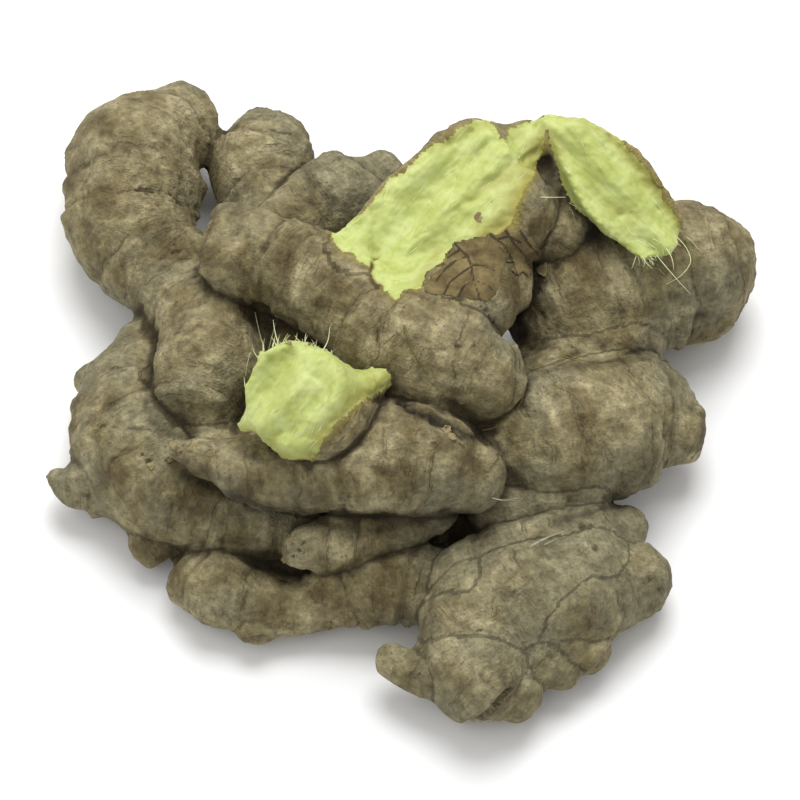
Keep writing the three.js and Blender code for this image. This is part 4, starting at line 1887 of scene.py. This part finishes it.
@dataclass
class TornFibres:
    """The fluff of a torn face: short fibres that lie along it, and a fringe that stands off its edge."""

    name: str
    surface: Surface
    tear: Tear
    lying: int
    fringe: Outline
    standing: int
    reach: tuple[float, float] = (2.0, 5.5)
    lean: tuple[float, float] = (-0.2, 1.0)
    seed: int = SEED

    def lying_fibres(self, random: np.random.Generator) -> list[BMesh]:
        """Lays short fibres along the face, with one end peeling off it.

        Args:
            random: Where the random numbers come from.

        Returns:
            Their meshes.
        """
        corners = on_sheet(self.tear.outline)
        low, high = corners.min(axis=0), corners.max(axis=0)
        way = np.array(self.tear.face.fibre[:2])
        way /= np.linalg.norm(way)
        made: list[BMesh] = []
        while len(made) < self.lying:
            u, v = random.uniform(low, high)
            if inside(self.tear.outline, np.array([u]), np.array([v]))[0] < 1.5:
                continue
            turn = random.normal(0.0, 0.22)
            du, dv = way[0] - turn * way[1], way[1] + turn * way[0]
            length = random.uniform(2.5, 7.0)
            peel = random.uniform(0.1, 0.7) * random.choice([0.2, 1.0])
            knots = []
            for share in (0.0, 0.35, 0.7, 1.0):
                here = self.surface.nearness(u + du * length * share, v + dv * length * share)
                if here is None:
                    break
                lift = peel * share**2 - 0.12 * (1.0 - share)
                knots.append(SHEET.at(u + du * length * share, v + dv * length * share, here + lift))
            if len(knots) < 4:
                continue
            points = smooth_run(np.array(knots), 7)
            radii = random.uniform(0.07, 0.13) * np.array([0.7, 1.0, 1.0, 0.9, 0.75, 0.5, 0.2])
            made.append(bent_rod(points, radii, 5))
        return made

    def standing_fibres(self, random: np.random.Generator) -> list[BMesh]:
        """Stands a fringe of fine fibres off the edge.

        Args:
            random: Where the random numbers come from.

        Returns:
            Their meshes.
        """
        line = on_sheet(self.fringe)
        run = run_along(line)
        made: list[BMesh] = []
        for _ in range(self.standing):
            spot = random.uniform(0.0, run[-1])
            u, v = (np.interp(spot, run, line[:, k]) for k in range(2))
            found = self.surface.nearness(u, v)
            if found is None:
                continue
            length = random.uniform(*self.reach)
            turn = random.normal(0.0, 0.45)
            du = self.lean[0] + turn * self.lean[1]
            dv = self.lean[1] - turn * self.lean[0]
            rise = random.uniform(-0.3, 0.12)
            curl = random.normal(0.0, 0.25)
            root = SHEET.at(u, v, found - 0.6)[2]
            knots = [
                SHEET.place(
                    u + length * share * (du + curl * share * dv),
                    v + length * share * (dv - curl * share * du),
                    root + length * share * rise,
                )
                for share in (0.0, 0.35, 0.7, 1.0)
            ]
            radii = random.uniform(0.08, 0.14) * np.array([1.0, 1.0, 0.9, 0.8, 0.65, 0.45, 0.2])
            made.append(bent_rod(smooth_run(np.array(knots), 7), radii, 5))
        return made

    def build(self, finish: Material) -> Object:
        """Builds both kinds as one piece in the given material."""
        random = np.random.default_rng(self.seed)
        return gather(self.name, self.lying_fibres(random) + self.standing_fibres(random), finish)


@dataclass(frozen=True)
class Flake:
    """A dry scale of loose skin: its middle on the sheet, length, width, turn and lifted edge."""

    at: tuple[float, float]
    length: float
    width: float
    turn: float
    lift: float


@dataclass
class Flakes:
    """Dry scales that peel off the skin by the torn edges and the papery ends."""

    name: str
    surface: Surface
    flakes: tuple[Flake, ...]
    thickness: float = 0.22

    def scale(self, flake: Flake, number: int) -> BMesh:
        """Builds one scale, which follows the skin with one ragged edge lifted.

        Args:
            flake: The scale.
            number: Its number, which sets its ragged edge.

        Returns:
            Its mesh.
        """
        mesh = bmesh.new()
        bmesh.ops.create_grid(mesh, x_segments=9, y_segments=7, size=1.0)
        at = on_sheet(flake.at)
        middle = self.surface.nearness(*at) or 0.0
        cos, sin = math.cos(flake.turn), math.sin(flake.turn)
        flat = np.array([vert.co for vert in mesh.verts])
        ragged = Noise(SEED + 30 + number).at(np.column_stack([flat[:, :2] * 2.1, flat[:, 2]]), 1.0)
        for vert, (a, b, _), stray in zip(mesh.verts, flat, ragged):
            round_off = 1.0 - 0.24 * (a * a * b * b) - 0.18 * b * b
            grow = 1.0 + 0.35 * stray
            x = 0.5 * flake.length * a * round_off * grow
            y = 0.5 * flake.width * b * (1.0 - 0.2 * a * a) * grow
            u, v = at[0] + cos * x - sin * y, at[1] + sin * x + cos * y
            found = self.surface.nearness(u, v)
            here = middle if found is None else float(np.clip(found, middle - 1.5, middle + 1.5))
            lifted = flake.lift * (0.5 + 0.5 * a) ** 2 - 0.1 * (1.0 - a)
            vert.co = Vector(SHEET.at(u, v, here + lifted) * MM)
        bmesh.ops.recalc_face_normals(mesh, faces=mesh.faces)
        bmesh.ops.solidify(mesh, geom=mesh.faces, thickness=self.thickness * MM)
        bmesh.ops.recalc_face_normals(mesh, faces=mesh.faces)
        return mesh

    def build(self, finish: Material) -> Object:
        """Builds them all as one piece in the given material."""
        return gather(self.name, [self.scale(flake, i) for i, flake in enumerate(self.flakes)], finish)


@dataclass(frozen=True)
class Peel:
    """A sheet of skin that peels off the root: its outline, its veins, its free side and its lift."""

    outline: Outline
    veins: tuple[Outline, ...]
    free: tuple[float, float]
    lift: float


@dataclass
class PeeledSkin:
    """Thin ragged sheets of skin by the torn flesh, with dark veins and one side lifted."""

    name: str
    surface: Surface
    peels: tuple[Peel, ...]
    spacing: float = 0.4
    thickness: float = 0.2

    @staticmethod
    def depth(peel: Peel, spots: Array) -> Array:
        """Measures how far places lie inside a sheet's ragged edge.

        Args:
            peel: The sheet.
            spots: One row of u and v for each place.

        Returns:
            The distance inside the edge, below zero outside it.
        """
        flat = np.column_stack([spots, np.zeros(len(spots))])
        return inside(peel.outline, spots[:, 0], spots[:, 1]) + 0.45 * Noise(SEED + 14).layered(flat, 1.7, 3)

    def sheet(self, peel: Peel) -> BMesh:
        """Builds one sheet, which follows the skin, and sinks into it where it isn't free.

        Args:
            peel: The sheet.

        Returns:
            Its mesh.
        """
        corners = on_sheet(peel.outline)
        middle = (corners.max(axis=0) + corners.min(axis=0)) / 2
        reach = np.ptp(corners, axis=0) / 2 + 1.0
        mesh = bmesh.new()
        across, up = (int(2 * side / self.spacing) for side in reach)
        bmesh.ops.create_grid(mesh, x_segments=across, y_segments=up, size=1.0)
        spots = np.array([vert.co for vert in mesh.verts])[:, :2] * reach + middle
        depth = self.depth(peel, spots)
        freedom = np.clip(0.5 + (spots - middle) @ np.array(peel.free) / reach.max(), 0.0, 1.0)
        wave = 0.6 + 0.5 * Noise(SEED + 15).at(np.column_stack([spots, depth]), 2.4)
        edge = np.exp(-np.clip(depth, 0.0, 9.0) / 1.5)
        lift = 0.22 + peel.lift * freedom**2 * edge * wave - 0.5 * (1.0 - freedom) * edge**2
        last = 0.0
        for vert, (u, v), rise, deep in zip(list(mesh.verts), spots, lift, depth):
            found = self.surface.nearness(u, v) if deep > 0 else None
            if found is None:
                mesh.verts.remove(vert)
                continue
            last = found if abs(found - last) < 2.0 or not last else last + 0.2 * (found - last)
            vert.co = Vector(SHEET.at(u, v, last + rise) * MM)
        bmesh.ops.recalc_face_normals(mesh, faces=mesh.faces)
        bmesh.ops.solidify(mesh, geom=mesh.faces, thickness=self.thickness * MM)
        loose = [vert for vert in mesh.verts if not vert.link_faces]
        bmesh.ops.delete(mesh, geom=loose, context="VERTS")
        bmesh.ops.recalc_face_normals(mesh, faces=mesh.faces)
        return mesh

    def build(self, finish: Material) -> Object:
        """Builds the sheets as one piece, and stores how near each place is to an edge and a vein.

        Args:
            finish: The material.

        Returns:
            The piece.
        """
        piece = gather(self.name, [self.sheet(peel) for peel in self.peels], finish)
        points = read_positions(piece.data)
        u, v, _ = SHEET.flatten(points)
        depth = np.max([self.depth(peel, np.column_stack([u, v])) for peel in self.peels], axis=0)
        wander = 0.18 * Noise(SEED + 16).layered(points, 2.4, 2)
        veins = [Rhizome.away_from(line, points) for peel in self.peels for line in peel.veins]
        away = np.abs(np.min(veins, axis=0) + wander)
        add_attribute(piece.data, "edge", np.exp(-np.clip(depth, 0.0, 9.0) / 0.6))
        add_attribute(piece.data, "vein", np.exp(-((away / 0.24) ** 2)))
        return piece


@dataclass(frozen=True)
class PeelFinish:
    """The peeled skin: thin and tan, brown at its edges, with dark veins."""

    dark: Rgb = (88, 74, 38)
    light: Rgb = (124, 109, 68)
    vein: Rgb = (38, 27, 10)

    def material(self, mottle: NodeTree) -> Material:
        """Builds the material.

        Args:
            mottle: The shared mottling.

        Returns:
            The material.
        """
        made, nodes, shader, place = open_material("peeled_skin")
        spots = nodes.shared(mottle, Vector=place, Patches=240.0, Grain=900.0)
        colour = nodes.ramp(spots["Patch"], (0.36, self.dark), (0.64, self.light))
        colour = nodes.dim(colour, nodes.span(spots["Fine"], 0.3, 0.7, 0.74, 1.2))
        lines = nodes.band(nodes.attribute("vein"), 0.15, 0.75)
        lines = nodes.math("MAXIMUM", lines, nodes.times(nodes.attribute("edge"), 0.8))
        nodes.feed(shader.inputs["Base Color"], nodes.mix(
            nodes.times(lines, 0.85), colour, linear(*self.vein)))
        shader.inputs["Roughness"].default_value = 0.85
        nodes.bump(shader, nodes.math("SUBTRACT", spots["Fine"], lines), 0.7, 0.0005)
        return made


PEELS: tuple[Peel, ...] = (
    Peel(
        (
            (452, 244), (463, 242), (473, 239), (484, 237), (497, 240), (505, 250), (508, 264), (502, 280),
            (497, 296), (488, 306), (474, 304), (455, 300), (436, 298), (420, 294), (417, 288), (424, 279),
            (432, 271), (440, 261), (446, 252),
        ),
        (
            ((453, 243), (460, 251), (467, 257), (471, 268), (473, 281), (478, 296), (480, 306)),
            ((467, 257), (455, 262), (445, 270), (436, 282)),
            ((459, 251), (447, 259)),
            ((470, 268), (460, 275), (449, 284), (443, 297)),
            ((473, 281), (463, 288), (457, 300)),
            ((470, 266), (482, 266), (494, 272)),
            ((473, 281), (484, 285), (493, 292)),
        ),
        (-0.5, 0.86), 0.55,
    ),
    Peel(
        (
            (478, 238), (489, 232), (497, 233), (505, 228), (512, 232), (520, 228), (527, 235), (533, 237),
            (538, 246), (543, 252), (540, 261), (533, 262), (535, 271), (529, 277), (523, 272), (517, 281),
            (511, 272), (506, 275), (503, 264), (495, 262), (498, 254), (489, 252), (486, 246), (480, 244),
        ),
        (
            ((490, 236), (503, 246), (512, 262), (517, 276)),
            ((505, 232), (514, 246), (526, 258), (532, 270)),
            ((520, 232), (527, 244), (539, 256)),
            ((498, 240), (509, 238), (520, 244)),
        ),
        (-0.2, -0.98), 1.1,
    ),
)

DRIPS: tuple[Thread, ...] = (
    Thread(((396, 284), (397, 298), (399, 312), (403, 330)), 1.35, -0.85, 0.6),
)

FLESH_THREADS: tuple[Thread, ...] = (
    Thread(((652, 250), (668, 270), (680, 284), (690, 295)), 0.13, 0.3),
    Thread(((676, 236), (686, 248), (690, 262), (680, 276), (665, 285)), 0.12, 0.3),
    Thread(((680, 232), (692, 240), (700, 250)), 0.11, 0.2),
    Thread(((640, 252), (645, 262), (652, 269)), 0.15, 0.2),
    Thread(((664, 246), (671, 258), (673, 270)), 0.15, 0.2),
    Thread(((520, 196), (542, 198), (565, 198)), 0.16, 0.4),
    Thread(((264, 350), (259, 330), (255, 312)), 0.15, 0.8),
    Thread(((281, 347), (277, 333), (275, 321)), 0.15, 0.8),
    Thread(((268, 352), (272, 337), (276, 323)), 0.14, 1.2),
    Thread(((322, 355), (329, 342), (331, 328)), 0.15, 0.8),
    Thread(((246, 388), (247, 369), (251, 352)), 0.14, 0.6),
    Thread(((488, 124), (496, 112), (498, 104)), 0.12, 0.3),
)

ROOT_THREADS: tuple[Thread, ...] = (
    Thread(((400, 316), (405, 330), (412, 350), (416, 358), (427, 374)), 0.36, 0.08, 0.4),
    Thread(((404, 328), (394, 336), (384, 345)), 0.16, 0.05, 0.5),
    Thread(((524, 378), (523, 392), (517, 407), (505, 420), (492, 428), (481, 430)), 0.24, 0.04, 0.5),
    Thread(((548, 349), (562, 356), (580, 361), (602, 362), (625, 353)), 0.22, 0.06, 0.5),
)

PALE_ROOTS: tuple[Thread, ...] = (
    Thread(((527, 546), (536, 541), (549, 535), (563, 530)), 0.5, 0.0, 0.3),
    Thread(((531, 549), (545, 542), (556, 537)), 0.28, 0.0, 0.3),
    Thread(((489, 496), (501, 499), (516, 497)), 0.18, 0.0, 0.5),
)

FLAKES: tuple[Flake, ...] = (
    Flake((541, 268), 4.2, 3.0, -1.2, 0.9),
    Flake((478, 218), 2.6, 1.6, 2.0, 0.5),
    Flake((444, 430), 3.2, 1.9, 0.6, 1.1),
    Flake((452, 436), 2.6, 1.6, -0.4, 1.0),
    Flake((178, 446), 3.4, 1.8, 2.7, 0.7),
    Flake((174, 457), 3.0, 1.6, -2.6, 0.6),
    Flake((196, 447), 3.6, 2.2, 2.9, 0.4),
    Flake((216, 452), 3.8, 2.4, 3.1, 0.4),
    Flake((292, 540), 3.2, 1.8, 1.9, 0.6),
    Flake((288, 556), 2.8, 1.6, -2.4, 0.5),
    Flake((152, 462), 3.0, 2.0, -1.2, 0.4),
)


@dataclass(frozen=True)
class Studio:
    """A plain pale floor, soft light from above and a long lens at the photograph's angle."""

    lens: float = 396.0
    distance: float = 2.2
    plane: float = 0.026
    floor_size: float = 4.0
    sensor: float = 36.0
    sight: float = 20.0

    def build(self) -> None:
        """Sets the floor, the lights and the camera."""
        self.floor()
        self.lights()
        self.camera()

    def floor(self) -> None:
        """Lays the pale floor that the root rests on."""
        mesh = bmesh.new()
        bmesh.ops.create_grid(mesh, x_segments=1, y_segments=1, size=self.floor_size / 2)
        data = bpy.data.meshes.new("studio_floor")
        mesh.to_mesh(data)
        mesh.free()
        made = bpy.data.materials.new("studio_floor")
        made.use_nodes = True
        shader = made.node_tree.nodes["Principled BSDF"]
        shader.inputs["Base Color"].default_value = (0.93, 0.93, 0.93, 1.0)
        shader.inputs["Roughness"].default_value = 0.9
        data.materials.append(made)
        show("studio_floor", data)

    @staticmethod
    def lights() -> None:
        """Hangs a broad soft light above and behind, a weak one in front, and a pale sky."""
        for name, place, size, power in (
            ("key", (0.05, 0.6, 1.15), 0.9, 16.5),
            ("fill", (-0.7, -0.35, 1.0), 1.2, 2.6),
        ):
            data = bpy.data.lights.new(name, "AREA")
            data.size = size
            data.energy = power
            lamp = show(name, data)
            lamp.location = place
            lamp.rotation_euler = (-Vector(place)).to_track_quat("-Z", "Y").to_euler()
        world = bpy.data.worlds.new("pale_sky")
        world.use_nodes = True
        world.node_tree.nodes["Background"].inputs["Color"].default_value = (1.0, 1.0, 1.0, 1.0)
        world.node_tree.nodes["Background"].inputs["Strength"].default_value = 0.6
        bpy.context.scene.world = world

    def camera(self) -> None:
        """Stands the camera far off along the photograph's line of sight."""
        near = Vector(SHEET.direction(0, 0, 1))
        data = bpy.data.cameras.new("camera")
        data.lens = self.lens
        data.sensor_width = self.sensor
        data.clip_end = self.sight
        camera = show("camera", data)
        centre = Vector((SHEET.centre_x * MM, SHEET.centre_y * MM, 0.0))
        camera.location = near * (self.distance + self.plane) - centre
        camera.rotation_euler = (math.pi / 2 - SHEET.elevation, 0.0, 0.0)
        bpy.context.scene.camera = camera
        bpy.context.scene.view_settings.view_transform = "Standard"


def main() -> None:
    """Builds the root, its dressing and the studio, and notes the sizes before and after."""
    logging.basicConfig(level=logging.INFO, format="%(name)s: %(message)s")
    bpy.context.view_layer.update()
    mottle, streaks = mottle_group(), streak_group()
    skin = SkinFinish().material(mottle, streaks)
    flesh = FleshFinish().material(mottle, streaks)
    root = Rhizome(
        FINGERS + FLESH_LOBES, TEARS, CRACKS, FOLDS, SLIT, STAINS, PAINTED_SHADE_LINES, DRY_SKIN, SCARS, DRY_ENDS,
    ).build(skin, flesh)
    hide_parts(NODE)
    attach(root, BODY)
    log.info("ginger root: %d faces", len(root.data.polygons))
    surface = Surface(root)
    fibre = ThreadFinish("torn_fibre", (192, 199, 142), (214, 219, 172)).material(mottle)
    Threads("flesh_threads", surface, FLESH_THREADS).build(fibre)
    wet = ThreadFinish("wet_flesh", (166, 170, 78), (190, 198, 108), 0.4).material(mottle)
    Threads("flesh_drips", surface, DRIPS, 10).build(wet)
    snapped, slab, stub = TEARS
    TornFibres("snapped_fibres", surface, snapped, 34, ((478, 122), (488, 121)), 4, (1.0, 2.0)).build(fibre)
    TornFibres(
        "slab_fibres", surface, slab, 20, ((632, 254), (652, 254), (674, 240)), 34,
        (1.2, 3.2), (0.5, -0.87), SEED + 1,
    ).build(fibre)
    TornFibres(
        "stub_fibres", surface, stub, 22,
        ((246, 392), (252, 370), (268, 350), (298, 344), (318, 354), (342, 356)), 54,
        (1.2, 3.6), (-0.2, 0.98), SEED + 2,
    ).build(fibre)
    green = ThreadFinish("olive_thread", (96, 86, 40), (122, 112, 58), 0.7).material(mottle)
    Threads("root_threads", surface, ROOT_THREADS).build(green)
    pale = ThreadFinish("pale_root", (138, 134, 108), (168, 167, 142), 0.35).material(mottle)
    Threads("pale_roots", surface, PALE_ROOTS).build(pale)
    PeeledSkin("peeled_skin", surface, PEELS).build(PeelFinish().material(mottle))
    paper = ThreadFinish("dry_flake", (112, 98, 62), (146, 133, 94), 0.85).material(mottle)
    Flakes("dry_flakes", surface, FLAKES).build(paper)
    Studio().build()


if __name__ == "__main__":
    main()
